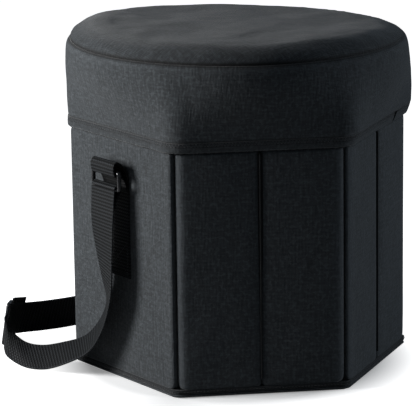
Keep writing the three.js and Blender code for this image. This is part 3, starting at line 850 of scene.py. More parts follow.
# %% Bend the webbing round the rings
SEWN_GAP = 0.0003
ON_WALL = WALL_CROWN + SEWN_GAP + WEB_THICKNESS / 2
ANCHOR_FOOT = 0.107
ANCHOR_MIDDLE = 0.1535
ANCHOR_LEAVES = 0.2
DIAGONAL = 0.7
CHORD = 0.71
RING_PAINTED_SHADE = 0.9
ANCHOR_STEPS = 120
END_STEPS = 50
RING_SHADE_FROM = 0.185
RING_SHADE_FULL = 0.2
RING_SHADE_DEPTH = 0.003
ANCHOR_BODY = {"left": "left", "right": "base"}


def face_band(name, face, profile, steps):
    """Webbing that follows a profile of (outwards, height) points on the middle of a face."""
    line = spline(profile, np.linspace(0, 1, steps))
    middle = on_face(face, 0, line[:, 0], line[:, 1])
    along = np.gradient(middle, axis=0)
    along /= np.linalg.norm(along, axis=1)[:, None]
    across = np.broadcast_to(face_axes(face)[0], middle.shape)
    frames = (middle, along, across, np.cross(along, across))
    # painted shade: high up and close to the wall, behind the ring, the strip is darkened
    high_up = smooth(line[:, 1], RING_SHADE_FROM, RING_SHADE_FULL)
    behind = high_up * smooth(RING_OUT - line[:, 0], 0.0, RING_SHADE_DEPTH)
    return band(name, frames, shade=RING_PAINTED_SHADE * behind)


anchor_profile = [
    (ON_WALL, ANCHOR_FOOT),
    (ON_WALL, ANCHOR_MIDDLE),
    (ON_WALL, ANCHOR_LEAVES),
    (ON_WALL + (RING_OUT - ON_WALL) * 0.2, RING_TOP),
    (RING_OUT - WRAP * 0.9, RING_TOP + 0.008),
    (RING_OUT + WRAP * 0.3, RING_TOP + 0.01),
    (RING_OUT + WRAP * 1.1, RING_TOP + 0.006),
    (RING_OUT + WRAP, RING_TOP),
    (RING_OUT + WRAP * DIAGONAL, RING_TOP - WRAP * CHORD),
    (RING_OUT, RING_TOP - WRAP),
    (RING_OUT - WRAP * DIAGONAL, RING_TOP - WRAP * CHORD),
    (RING_OUT - WRAP, RING_TOP),
    (RING_OUT - WRAP * 1.15, RING_TOP - 0.004),
    (RING_OUT * 0.45, RING_TOP - 0.009),
    (ON_WALL + WEB_THICKNESS * 1.5, RING_TOP - 0.015),
    (ON_WALL + WEB_THICKNESS * 1.2, RING_TOP - 0.020),
]
end_profile = [
    (RING_OUT + WRAP, LOWER_BAR + 0.0006),
    (RING_OUT + WRAP * DIAGONAL, LOWER_BAR + WRAP * CHORD),
    (RING_OUT, LOWER_BAR + WRAP),
    (RING_OUT - WRAP * DIAGONAL, LOWER_BAR + WRAP * CHORD),
    (RING_OUT - WRAP, LOWER_BAR),
    (RING_OUT - WRAP * 0.6, LOWER_BAR - 0.0045),
    (RING_OUT + WRAP * 0.4, LOWER_BAR - 0.0099),
    (RING_OUT + WRAP * 0.65, LOWER_BAR - 0.018),
]
for side, body in ANCHOR_BODY.items():
    anchor = face_band(f"anchor_{side}_webbing", side, anchor_profile, ANCHOR_STEPS)
    dress(anchor, body, "webbing", f"anchor_{side}")
    end = face_band(f"strap_end_{side}_webbing", side, end_profile, END_STEPS)
    dress(end, f"ring_{side}", "webbing", f"strap_end_{side}")

# %% [markdown]
# The rings are flat rectangles of the same plastic as the adjuster, and wide enough for the
# webbing. They are moulded in the same way, each in the frame of its face.

# %% Mould the rings
RING_OUTER = (WEB_WIDTH + 0.008, RING_PITCH + 2 * BAR_RADIUS, 0.004)
RING_WINDOW = (WEB_WIDTH + 0.0016, RING_PITCH - 2 * BAR_RADIUS, 0.001)
RING_DEPTH = 0.0042
RING_BEVEL = 0.0011
RING_MIDDLE = (RING_TOP + LOWER_BAR) / 2


def on_ring(side):
    return lambda x, y, z: on_face(side, x, RING_OUT + z, RING_MIDDLE + y)


for side in ANCHOR_BODY:
    shell = moulded_frame(RING_OUTER, RING_WINDOW, RING_DEPTH, RING_BEVEL, on_ring(side))
    ring = build(f"ring_{side}_moulded", [shell], [PLASTIC], ROUND_SHARP)
    dress(ring, f"ring_{side}", "plastic", f"ring_{side}")
    print(ring.name, "is", RING_OUTER[0], "m wide")

# %% [markdown]
# ## The padded walls
#
# A wall is a cloth sleeve over a sheet of foam and a stiff board. The cloth is pulled round the
# edges, so the outside is gently crowned in the middle and rolls off towards each edge. Each wall
# is one closed skin: the outside in black cloth, the inside in grey lining.
#
# A cloth simulation would puff every wall alike and move its edges off the seams, so the skin is
# shaped by rule instead. Each kind of edge has a slow fall and a tight roll. First comes the list
# of walls: for each face, its walls with their low and high end along the face. An end is 0 at the
# crease, and -1 or 1 at a corner.

# %% Say where each wall ends
WALLS = {
    "right": [("right", -1, 1)],
    "left": [("left", -1, 1)],
    "back_right": [("back_right_inner", -1, 0), ("back_right_outer", 0, 1)],
    "back_left": [("back_left_inner", 0, 1), ("back_left_outer", -1, 0)],
    "front_left": [("front_left_inner", -1, 0), ("front_left_outer", 0, 1)],
    "front_right": [("front_right_inner", 0, 1), ("front_right_outer", -1, 0)],
}
SLOPE = math.tan(SIXTH / 2)


def wall_end(side, depth):
    """Where a wall ends at a depth below its outside: at the crease, or on the mitred corner."""
    if side == 0:
        return None
    return side * (SIDE / 2 - depth * SLOPE - WALL_SEAM / 2 / math.cos(SIXTH / 2))


def wall_ends(low, high, depth):
    gap = WALL_SEAM / 2
    left_end = gap if low == 0 else wall_end(-1, depth)
    right_end = -gap if high == 0 else wall_end(1, depth)
    return left_end, right_end


def is_creased(low, high):
    return 0 in (low, high)


print("a whole wall is", round(2 * wall_end(1, 0), 4), "m wide outside")

# %% [markdown]
# Cloth over foam has slow dents where the foam gives way, and small ones from the weave's pull.
# Noise in space gives both, and the same noise each time. The corner at the left of the photograph
# is worn rounder than the others, so it has a deeper fall.

# %% Shape the edges and the dents
EDGES = {
    "crease": {"fall": 0.0012, "fall_width": 0.014, "roll": 0.0020, "roll_width": 0.004},
    "whole": {"fall": 0.0, "fall_width": 0.014, "roll": 0.0036, "roll_width": 0.006},
    "corner": {"fall": 0.0026, "fall_width": 0.0125, "roll": 0.0010, "roll_width": 0.0025},
    "wear_and_light": {"fall": 0.0047, "fall_width": 0.0125, "roll": 0.0010, "roll_width": 0.0025},
}
WORN_FACE = "front_left"
DEEPEST = 0.0075
BOTTOM_ROLL = (0.003, 0.0006)
TOP_ROLL = (0.004, 0.0015)
CROWN_CLIMB = 0.03
WALL_DENTS = (0.05, 0.0010)
WALL_WRINKLES = (0.016, 0.0003)
MOST_PROUD = 0.0004
FREE_OF_EDGE = 0.02
NOISE_STEP = 1.37
NOISE_SQUASH = 0.6


def edge_curve(distance, width, drop):
    """A quarter round: drop at the edge itself, and nothing from width inwards."""
    share = np.clip(distance / width, 0, 1)
    return drop * (1 - np.sqrt(np.clip(1 - (1 - share) ** 2, 0, 1)))


def edge_kind(face, side, creased):
    if side == 0:
        return "crease"
    if not creased:
        return "whole"
    return "wear_and_light" if face == WORN_FACE else "corner"


def edge_drop(kind, distance):
    """How far the cloth lies below the face at a distance from one end of its wall."""
    edge = EDGES[kind]
    fall = edge["fall"] * np.clip(1 - distance / edge["fall_width"], 0, 1) ** 2
    return fall + edge_curve(distance, edge["roll_width"], edge["roll"])


def spread(count, bunch):
    """Shares from 0 to 1 that lie closer together near both ends."""
    even = np.linspace(0, 1, count)
    return even + (np.sin(even * 2 * math.pi) * -bunch / (2 * math.pi))


def hollows(points, size, depth, seed):
    """Slow dents in cloth, as a height for each point."""
    offset = Vector((seed * 7.3, seed * 3.1, seed * 1.7))
    shape = points.shape[:-1]
    values = [noise.noise(Vector(p) / size + offset) for p in points.reshape(-1, 3)]
    return np.array(values).reshape(shape) * depth


def wall_outside(face, low, high, x, z, seed):
    """How far a wall's cloth stands out of its face."""
    start, stop = wall_ends(low, high, 0)
    from_bottom = z - WALL_BOTTOM
    drop = edge_curve(from_bottom, *BOTTOM_ROLL) + edge_curve(WALL_TOP - z, *TOP_ROLL)
    for side, distance in ((low, x - start), (high, stop - x)):
        drop = drop + edge_drop(edge_kind(face, side, is_creased(low, high)), distance)
    share = (x - start) / (stop - start)
    crown = WALL_CROWN * 4 * share * (1 - share) * smooth(from_bottom, 0, CROWN_CLIMB)
    shifted = x + FACES.index(face) * NOISE_STEP
    place = np.stack(np.broadcast_arrays(shifted, z * NOISE_SQUASH, 0 * x), axis=2)
    dents = hollows(place, *WALL_DENTS, seed) + hollows(place, *WALL_WRINKLES, seed + 5)
    to_side = np.minimum(x - start, stop - x)
    dents = dents * smooth(to_side, 0.0, FREE_OF_EDGE) * smooth(from_bottom, 0, FREE_OF_EDGE)
    return crown - np.minimum(drop, DEEPEST) + np.minimum(dents, MOST_PROUD)


print("drop at a corner:", round(float(edge_drop("corner", 0.0)), 4), "m")

# %% [markdown]
# The cloth's side edges follow the mitred corners, where two walls meet at an angle. Near the
# bottom's tray such an edge is drawn back further, and where the face falls away the edge leans
# after it, so that a narrow groove stays between two walls. At a crease the edges stay square, and
# open a little towards the top.

# %% Sew one wall
WALL_ROWS = 64
WALL_COLUMNS = 44
ROW_BUNCH = 0.8
COLUMN_BUNCH = 0.85
SIDE_STEPS = 4
HUG = 6
SQUARE_FOOT = (0.004, 0.0015)
CORNER_FOOT = (0.008, 0.0040)
CREASE_GAP = 0.0008
CREASE_OPENS = (0.05, 0.2)
CORNER_GAP = 0.0006
WHOLE_GAP = 0.0002
QUILT = (0.006, 0.0012)
RUB_WIDTH = 0.0035
RUB_SHARE = 0.22
# painted highlight on the rounded corner edges, where they catch the lamp
CORNER_PAINTED_HIGHLIGHT_WIDTH = 0.0105
CORNER_PAINTED_HIGHLIGHT = 0.62


def pull_back(side, low, high, out, z):
    """How far one side edge of a wall is drawn inwards at each point."""
    from_bottom = z - WALL_BOTTOM
    if side == 0:
        return edge_curve(from_bottom, *SQUARE_FOOT) + CREASE_GAP * smooth(z, *CREASE_OPENS)
    gap = CORNER_GAP if is_creased(low, high) else WHOLE_GAP
    return edge_curve(from_bottom, *CORNER_FOOT) + SLOPE * np.maximum(-out, 0) + gap


def bridge(first, second, axis):
    """Rows of points from one line across to another."""
    steps = np.linspace(0, 1, SIDE_STEPS)
    return np.stack([first + (second - first) * s for s in steps], axis=axis)


def wall_skin(name, face, low, high, seed):
    columns = spread(WALL_COLUMNS, COLUMN_BUNCH)
    z = WALL_BOTTOM + (WALL_TOP - WALL_BOTTOM) * spread(WALL_ROWS, ROW_BUNCH)
    z = z[:, None]
    start, stop = wall_ends(low, high, 0)
    x = start + (stop - start) * columns[None, :]
    out = wall_outside(face, low, high, x, z, seed)
    low_pull = pull_back(low, low, high, out, z) * (1 - columns[None, :]) ** HUG
    high_pull = pull_back(high, low, high, out, z) * columns[None, :] ** HUG
    outside = on_face(face, x + low_pull - high_pull, out, z)
    start_in, stop_in = wall_ends(low, high, WALL_THICKNESS)
    x_in = start_in + (stop_in - start_in) * columns[None, ::-1]
    quilt = edge_curve(np.minimum(x_in - start_in, stop_in - x_in), *QUILT)
    inside = on_face(face, x_in, quilt - WALL_THICKNESS, z)
    wear_and_painted_light = np.exp(-np.minimum(x - start, stop - x) / RUB_WIDTH) * RUB_SHARE + 0 * z
    # painted highlight: the corner edges of the folding walls are painted paler, where their
    # rounding catches the lamp
    for side, distance in ((low, x - start), (high, stop - x)):
        if side and is_creased(low, high):
            wear_and_painted_light = wear_and_painted_light + CORNER_PAINTED_HIGHLIGHT * np.exp(-((distance / CORNER_PAINTED_HIGHLIGHT_WIDTH) ** 2))
    across = np.linspace(0, WALL_THICKNESS, SIDE_STEPS)
    patches = [
        patch(outside, np.stack(np.broadcast_arrays(x, z), axis=2), wear_and_painted_light),
        patch(inside, np.stack(np.broadcast_arrays(x_in, z), axis=2), None, material=1),
    ]
    for a, b in ((outside[:, -1], inside[:, 0]), (inside[:, -1], outside[:, 0])):
        flat = np.stack(np.broadcast_arrays(across[None, :], z), axis=2)
        patches.append(patch(bridge(a, b, 1), flat))
    for row in (0, -1):
        flat = np.stack(np.broadcast_arrays(x[0][None, :], across[:, None]), axis=2)
        patches.append(patch(bridge(outside[row], inside[row][::-1], 0), flat))
    return build(name, patches, [COVER, LINING], CLOTH_SHARP)


# %% [markdown]
# Each skin rides with its own wall's body and stands for the sleeve and the padding in it. The
# right wall belongs to the base, on which everything else turns. The boards keep their solids.

# %% Sew all the walls
for face, parts in WALLS.items():
    for number, (wall, low, high) in enumerate(parts):
        body = "base" if wall == "right" else wall
        skin = wall_skin(f"{wall}_wall", face, low, high, FACES.index(face) * 3 + number)
        dress(skin, body, "cover", f"{wall}_sleeve", f"{wall}_padding")

# %% [markdown]
# ## Cloth hinges
#
# At each corner a strip of cloth is sewn to the inside of both walls, and at each crease the cover
# runs on from one half to the other. Such a strip could be one of the skins' own edges, but then
# two bodies would share a mesh. So each is a sheet of its own, between the two walls that it joins.

# %% Join the corners
joints = {frozenset((j["parent"], j["child"])): j for j in frame["joints"]}
STRIP_LOW = WALL_BOTTOM + 0.001
STRIP_HIGH = WALL_TOP - 0.002
STRIP_ROWS = 40
STRIP_MIDDLE = 0.1
CORNER_DEPTH = WALL_THICKNESS + 0.0008
CORNER_REACH = 0.012
CORNER_TURN = 0.0012
CORNER_COLUMNS = 8
STILL_COLUMNS = 3
CORNER_CLOTH = 0.0006
# painted shade: the corner strips are painted dark, so the groove between two walls looks shaded
CORNER_PAINTED_SHADE = 0.7
CORNERS = [
    ("right", "back_right", "base", "back_right_outer"),
    ("back_right", "back_left", "back_right_inner", "back_left_inner"),
    ("back_left", "left", "back_left_outer", "left"),
    ("left", "front_left", "left", "front_left_outer"),
    ("front_left", "front_right", "front_left_inner", "front_right_inner"),
    ("front_right", "right", "front_right_outer", "base"),
]


def cloth_strip(name, line, low, high, thickness, material, normals, shade=0.0):
    """An upright strip of cloth that follows a line on the floor plan. shade paints it darker, as
    painted shade in the groove.
    """
    line = np.asarray(line, float)
    normals = np.asarray(normals, float)
    heights = np.linspace(low, high, STRIP_ROWS)
    run = lengths(line)
    front = line + normals * thickness / 2
    rear = line - normals * thickness / 2
    outline = np.vstack((front, rear[::-1], front[:1]))
    along = np.concatenate((run, run[::-1], run[:1]))
    points = np.zeros((len(heights), len(outline), 3))
    points[:, :, :2] = outline[None]
    points[:, :, 2] = heights[:, None]
    flat = np.stack(np.broadcast_arrays(along[None, :], heights[:, None]), axis=2)
    edge = np.full(points.shape[:2], -shade)
    piece = build(name, [patch(points, flat, edge, True, True)], [material], CLOTH_SHARP)
    return piece, run[-1]


def corner_strip(first_face, second_face):
    """A strip inside a corner, from the end of one face round to the start of the next."""
    end = SIDE / 2 - CORNER_DEPTH * SLOPE
    line = []
    normals = []
    for face, side, reaches in (
        (first_face, -1, (CORNER_REACH, CORNER_TURN)),
        (second_face, 1, (CORNER_TURN, CORNER_REACH)),
    ):
        along, outwards = face_axes(face)
        for back_off in np.linspace(*reaches, CORNER_COLUMNS):
            x = side * (end - back_off)
            line.append(along[:2] * x + outwards[:2] * (APOTHEM - CORNER_DEPTH))
            normals.append(outwards[:2])
    return line, normals


for one, other, a, b in CORNERS:
    line, normals = corner_strip(one, other)
    name = f"corner_hinge_{one}_{other}"
    heights = (STRIP_LOW, STRIP_HIGH)
    piece, width = cloth_strip(name, line, *heights, CORNER_CLOTH, TRIM, normals, CORNER_PAINTED_SHADE)
    if frozenset((a, b)) in joints:
        start = (*line[STILL_COLUMNS], STRIP_MIDDLE)
        end = (*line[-1 - STILL_COLUMNS], STRIP_MIDDLE)
        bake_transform(piece)
    else:
        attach(piece, b)
    print(name, "is", round(width, 4), "m wide")

# %% [markdown]
# A crease strip's middle line lies right on the hinge's axis, the line that a fold would bend it
# round. If it lay deeper, it would swing out of the fold and into the wall opposite. Its columns
# are closest together in the middle millimetre, where all of the bend would be.

# %% Join the creases
CREASE_COLUMNS = np.array([0.0, 0.25, 0.5, 0.8, 1.4, 2.2, 3.2, 4.2, 5.0]) / 1000
CREASE_MIDDLE = 0.0006
CREASE_DEPTH = 0.0008
CREASE_ROLL = (0.006, 0.0030)
CREASE_LIFT = 0.006
CREASE_CLOTH = 0.0003
# painted shade: the crease strips are painted nearly black, so the crease reads as a shaded groove
CREASE_PAINTED_SHADE = 0.9
FIRST_BENT = 6
for face, parts in WALLS.items():
    if len(parts) == 1:
        continue
    xs = np.concatenate((-CREASE_COLUMNS[:0:-1], CREASE_COLUMNS))
    depths = -edge_curve(np.abs(xs) - WALL_SEAM / 2, *CREASE_ROLL) - CREASE_DEPTH
    depths[np.abs(xs) < CREASE_MIDDLE] = 0.0
    points = on_face(face, xs, depths, 0)[:, :2]
    outwards = np.broadcast_to(face_axes(face)[1][:2], points.shape)
    name = f"crease_hinge_{face}"
    heights = (STRIP_LOW + CREASE_LIFT, STRIP_HIGH)
    piece, width = cloth_strip(name, points, *heights, CREASE_CLOTH, COVER, outwards, CREASE_PAINTED_SHADE)
    start = (*points[FIRST_BENT], STRIP_MIDDLE)
    end = (*points[-1 - FIRST_BENT], STRIP_MIDDLE)
    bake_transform(piece)
    print(name, "is", round(width, 4), "m wide")

# %% [markdown]
# ## The lid's outline
#
# Seen from above, the lid starts as a hexagon at its hem and ends as a circle at the seam of the
# seat. `skirt_reach` gives the distance from the middle for any direction and height, the same way
# as for the lid's solid. A formula keeps the hem, the skirt, the seat and their stitches on one
# surface, where separate outlines would gape.

# %% Describe the lid
LID_BOTTOM = 0.2436
SKIRT_HEIGHT = 0.0853
SEAM_HEIGHT = LID_BOTTOM + SKIRT_HEIGHT
SEAM_RADIUS = 0.1672
HEM_HEIGHT = 0.010
LID_CORNER = 0.024
HEM_PROUD = 0.0036
SKIRT_ROLL = 0.0019
ROLL_HEIGHT = 0.013
SKIRT_BELLY = 0.006
CLIMB_POWER = 0.75
LEAN_HEIGHTS = (0, 0.012, 0.045, SKIRT_HEIGHT, SKIRT_HEIGHT + 0.02)
LEAN_SHIFTS = (0, 0.0024, 0.0018, -0.0012, -0.0012)
LEAN_TOWARDS = (0.796, -0.605)


def hexagon_reach(angle, reach, radius):
    """The distance to a hexagon with round corners, reach being half its width over the flats."""
    from_flat = np.abs(np.mod(angle + SIXTH / 2, SIXTH) - SIXTH / 2)
    centre = (reach - radius) / math.cos(SIXTH / 2)
    start = np.arctan(centre * math.sin(SIXTH / 2) / reach)
    off = SIXTH / 2 - from_flat
    across = centre * np.sin(off)
    round_part = centre * np.cos(off) + np.sqrt(np.maximum(radius**2 - across**2, 0))
    return np.where(from_flat <= start, reach / np.cos(from_flat), round_part)


def skirt_reach(angle, height):
    roll = np.sin(np.minimum(height / ROLL_HEIGHT, 1) * math.pi / 2)
    hexagon = hexagon_reach(angle, APOTHEM + HEM_PROUD + SKIRT_ROLL * roll, LID_CORNER)
    climb = smooth(height, HEM_HEIGHT, SKIRT_HEIGHT) ** CLIMB_POWER
    upper = np.clip(2 * height / SKIRT_HEIGHT - 1, 0, 1)
    circle = SEAM_RADIUS + SKIRT_BELLY * np.sqrt(1 - upper**2)
    return hexagon + (circle - hexagon) * climb


def around_lid(angle, height, reach, z):
    """Points round the lid, whose soft sides stand a little off centre at each height."""
    shift = np.interp(height, LEAN_HEIGHTS, LEAN_SHIFTS)
    x = reach * np.cos(angle) + shift * LEAN_TOWARDS[0]
    y = reach * np.sin(angle) + shift * LEAN_TOWARDS[1]
    x, y, z = np.broadcast_arrays(x, y, z)
    return np.stack((x, y, z), axis=-1)


print("skirt reach at a corner:", round(float(skirt_reach(SIXTH / 2, HEM_HEIGHT)), 4), "m")

# %% [markdown]
# ## The skirt
#
# The skirt is one long strip of cloth over the seat's foam. It bulges between its lower edge and
# the seat's seam, and it is a little slack. It is drawn in at both edges, where the thread pulls it
# down, and puckers close to the seat's seam. Its rows lie closest there.

# %% Sew the skirt
LID_STEPS = 240
SKIRT_ROWS = 34
SKIRT_BUNCH = 0.6
SKIN = 0.0014
THINNEST = 0.0008
DENT_RADIUS = 0.16
DENT_SQUASH = 0.7
SKIRT_DENTS = (0.045, 0.0012, 3)
SKIRT_WRINKLES = (0.012, 0.00035, 8)
FREE_OF_HEM = (0.012, 0.03)
FREE_OF_SEAM = (0.001, 0.02)
PUCKER_WIDTH = 0.010
MAP_RADIUS = 0.17
UNDER_REACH = 0.0004
SEAM_PULL = 0.0022
SEAM_PULL_WIDTH = 0.0016
HEM_PULL = 0.0013
HEM_PULL_WIDTH = 0.0012
SHOULDER_RUB = 0.3
SHOULDER_RUB_BELOW = 0.004
SHOULDER_RUB_WIDTH = 0.002
# painted shade along the seat's seam and along the join with the hem
SEAM_PAINTED_SHADE = 1.1
SEAM_PAINTED_SHADE_WIDTH = 0.0014
HEM_JOIN_PAINTED_SHADE = 0.8
HEM_JOIN_PAINTED_SHADE_WIDTH = 0.0011


def fall_off(distance, width):
    return np.exp(-distance / width)


def bell(distance, width):
    return np.exp(-((distance / width) ** 2))


def skirt_dents(angle, height):
    x, y = np.cos(angle) * DENT_RADIUS, np.sin(angle) * DENT_RADIUS
    place = np.stack(np.broadcast_arrays(x, y, height * DENT_SQUASH), axis=-1)
    upright = place * np.array((1, 1, 0.5))
    return hollows(place, *SKIRT_DENTS), hollows(upright, *SKIRT_WRINKLES)


def skirt_skin():
    angles = np.linspace(0, 2 * math.pi, LID_STEPS + 1)
    heights = HEM_HEIGHT + (SKIRT_HEIGHT - HEM_HEIGHT) * spread(SKIRT_ROWS, SKIRT_BUNCH)
    angle, height = np.meshgrid(angles, heights)
    below, above = SKIRT_HEIGHT - height, height - HEM_HEIGHT
    slow, fine = skirt_dents(angle, height)
    slow[:, -1], fine[:, -1] = slow[:, 0], fine[:, 0]
    fade = smooth(height, *FREE_OF_HEM) * smooth(below, *FREE_OF_SEAM)
    outer = skirt_reach(angle, height) + slow * fade - UNDER_REACH
    outer = outer + fine * (fade + fall_off(below, PUCKER_WIDTH))
    outer = outer - SEAM_PULL * fall_off(below, SEAM_PULL_WIDTH)
    outer = outer - HEM_PULL * fall_off(above, HEM_PULL_WIDTH)
    inner = np.minimum(skirt_reach(angle, height) - SKIN, outer - THINNEST)
    z = LID_BOTTOM + height
    outside = around_lid(angle, height, outer, z)
    inside = around_lid(angle, height, inner, z)[::-1]
    flat = np.stack(np.broadcast_arrays(angle * MAP_RADIUS, height), axis=2)
    wear_and_painted_light = SHOULDER_RUB * bell(below - SHOULDER_RUB_BELOW, SHOULDER_RUB_WIDTH)
    # painted shade: darker in the groove at the seat's seam and where the skirt meets the hem
    wear_and_painted_light = wear_and_painted_light - SEAM_PAINTED_SHADE * bell(below, SEAM_PAINTED_SHADE_WIDTH) - HEM_JOIN_PAINTED_SHADE * bell(above, HEM_JOIN_PAINTED_SHADE_WIDTH)
    points = np.vstack((outside, inside, outside[:1]))
    flat = np.vstack((flat, flat[::-1], flat[:1]))
    wear_and_painted_light = np.vstack((wear_and_painted_light, 0 * wear_and_painted_light, wear_and_painted_light[:1]))
    return build("skirt_cloth", [patch(points, flat, wear_and_painted_light, True)], [COVER], CLOTH_SHARP)


skirt = skirt_skin()
dress(skirt, "lid", "seat", "lid_skirt")
print("skirt faces:", len(skirt.data.polygons))

# %% [markdown]
# ## The hem
#
# The hem is the skirt's cloth turned under, with two rows of stitches that pull it in. It is open
# at the slit, where the zip's slider passes, so it is a strip with two ends and not a ring. Its
# rows run upright, because each end of the strip has to be closed. The hem is painted a little
# darker all over, and darker still along the stitch rows, as painted shade.

# %% Turn the hem
SLIT_PLACE = 0.034
SLIT_HALF = 0.0015
SLIT_SPREAD = 0.0015
HEM_LAYERS = 0.0016
HEM_ROWS = 21
HEM_ROLL = (0.0012, 0.0006)
HEM_WAVE = (0.03, 0.0006, 12)
HEM_PROUDEST = 0.0003
HEM_BACK = 0.0005
STITCH_ROWS = (0.0066, 0.0090)
STITCH_PULL = 0.0005
STITCH_PULL_WIDTH = 0.0006
STITCH_PAINTED_SHADE = 0.45
STITCH_PAINTED_SHADE_WIDTH = 0.0007
HEM_RUB = 0.3
HEM_RUB_WIDTH = 0.0015
HEM_PAINTED_SHADE = 0.25
slit_angle = FACES.index("front_right") * SIXTH + math.atan2(SLIT_PLACE, APOTHEM)


def hem_surface(angle, height):
    """The hem's outside. It tapers inwards a little, and each row of stitches pulls it in."""
    x, y = np.cos(angle) * DENT_RADIUS, np.sin(angle) * DENT_RADIUS
    place = np.stack((x, y, height), axis=-1)
    wave = np.minimum(hollows(place, *HEM_WAVE), HEM_PROUDEST)
    lip = edge_curve(height, *HEM_ROLL) + HEM_BACK
    for stitch_row in STITCH_ROWS:
        lip = lip + STITCH_PULL * bell(height - stitch_row, STITCH_PULL_WIDTH)
    return skirt_reach(angle, height) + wave - lip


def hem_skin():
    """The hem starts and ends at the slit, which is wider at the top than at the bottom."""
    heights = HEM_HEIGHT * np.linspace(0, 1, HEM_ROWS)
    share = np.linspace(0, 1, LID_STEPS + 1)
    half_slit = ((SLIT_HALF + SLIT_SPREAD * heights / HEM_HEIGHT) / APOTHEM)[:, None]
    angle = slit_angle + half_slit + share[None, :] * (2 * math.pi - 2 * half_slit)
    height = np.broadcast_to(heights[:, None], angle.shape)
    outer = hem_surface(angle, height)
    inner = skirt_reach(angle, height) - HEM_LAYERS + edge_curve(height, *HEM_ROLL)
    inner = np.minimum(inner, outer - THINNEST / 2)
    outside = around_lid(angle, height, outer, LID_BOTTOM + height)
    inside = around_lid(angle, height, inner, LID_BOTTOM + height)[::-1]
    flat = np.stack((angle * MAP_RADIUS, height), axis=2)
    # painted shade: the whole hem a little darker under the skirt's bulge, and darker in the stitch
    # grooves
    wear_and_painted_light = fall_off(height, HEM_RUB_WIDTH) * HEM_RUB - HEM_PAINTED_SHADE
    for stitch_row in STITCH_ROWS:
        wear_and_painted_light = wear_and_painted_light - STITCH_PAINTED_SHADE * bell(height - stitch_row, STITCH_PAINTED_SHADE_WIDTH)
    points = np.transpose(np.vstack((outside, inside, outside[:1])), (1, 0, 2))
    flat = np.transpose(np.vstack((flat, flat[::-1], flat[:1])), (1, 0, 2))
    wear_and_painted_light = np.vstack((wear_and_painted_light, 0 * wear_and_painted_light, wear_and_painted_light[:1])).T
    return build("hem_cloth", [patch(points, flat, wear_and_painted_light, True, True)], [COVER], ROUND_SHARP)


hem = hem_skin()
dress(hem, "lid", "cover", "lid_hem")
print("hem faces:", len(hem.data.polygons))

# %% [markdown]
# ## The seat
#
# The seat's round top is a disc of cloth, sewn to the skirt all round and pushed up by the foam.
# It rises steeply from the seam, has a soft rim and is slightly hollow in the middle, where people
# have sat. The foam is tired on one side, at the photograph's back and right, so the top slopes
# down there. A simulated cushion would bulge evenly, so rings of points are raised by rule, and
# noise adds the dents, the creases on the shoulder and the puckers at the seam.

# %% Stretch the crown
CROWN_REACH = 0.168
CROWN_EDGE = CROWN_REACH - 0.0010
CROWN_RINGS = 74
CENTRE_HOLE = 0.004
SHOULDER = 0.030
SHOULDER_POWER = 0.66
FULL_RISE = 0.0162
RISE = 0.0140
SLOPE_ASIDE = -0.035
SLOPE_BEHIND = -0.062
TURN_OVER = 0.004
SEAT_HOLLOW = 0.0022
HOLLOW_RADIUS = 0.128
SEAT_DENTS = (0.06, 0.0016, 21)
SEAT_WRINKLES = (0.022, 0.0006, 4)
PUCKERS = (0.0065, 0.0010, 14)
PUCKER_FADE = 0.007
CREASES = (0.028, 0.0022, 31)
RIM_RUB = 0.16
RIM_RUB_PLACE = 0.02
RIM_RUB_WIDTH = 0.008
VIEW_RIGHT = np.array((right.x, right.y))
VIEW_BACK = np.array((-right.y, right.x))


def crown_top(x, y):
    """How high the foam pushes the cloth at a place, well inside the seam."""
    aside = x * VIEW_RIGHT[0] + y * VIEW_RIGHT[1]
    behind = x * VIEW_BACK[0] + y * VIEW_BACK[1]
    slope = RISE + SLOPE_ASIDE * aside + SLOPE_BEHIND * behind
    gap = np.clip((slope - FULL_RISE) / TURN_OVER + 0.5, 0, 1)
    sloped = np.minimum(slope, FULL_RISE + TURN_OVER / 2) * (1 - gap)
    return FULL_RISE * gap + sloped - 0.0005 * gap * (1 - gap)


def crown_relief(x, y, angle, to_seam, rise):
    """Dents all over, creases on the shoulder and puckers along the seam."""
    place = np.stack((x, y, 0 * x), axis=2)
    ring = np.stack((np.cos(angle) * CROWN_REACH, np.sin(angle) * CROWN_REACH, 0 * x), axis=2)
    dents = hollows(place, *SEAT_DENTS) + hollows(place, *SEAT_WRINKLES)
    puckers = hollows(ring, *PUCKERS) * fall_off(to_seam, PUCKER_FADE)
    creases = -np.abs(hollows(place, *CREASES)) * smooth(rise, 0.05, 0.6)
    relief = dents * smooth(to_seam, 0.004, 0.03) + puckers + creases * 0.5
    relief[:, -1] = relief[:, 0]
    return relief * smooth(to_seam, 0, 0.003)


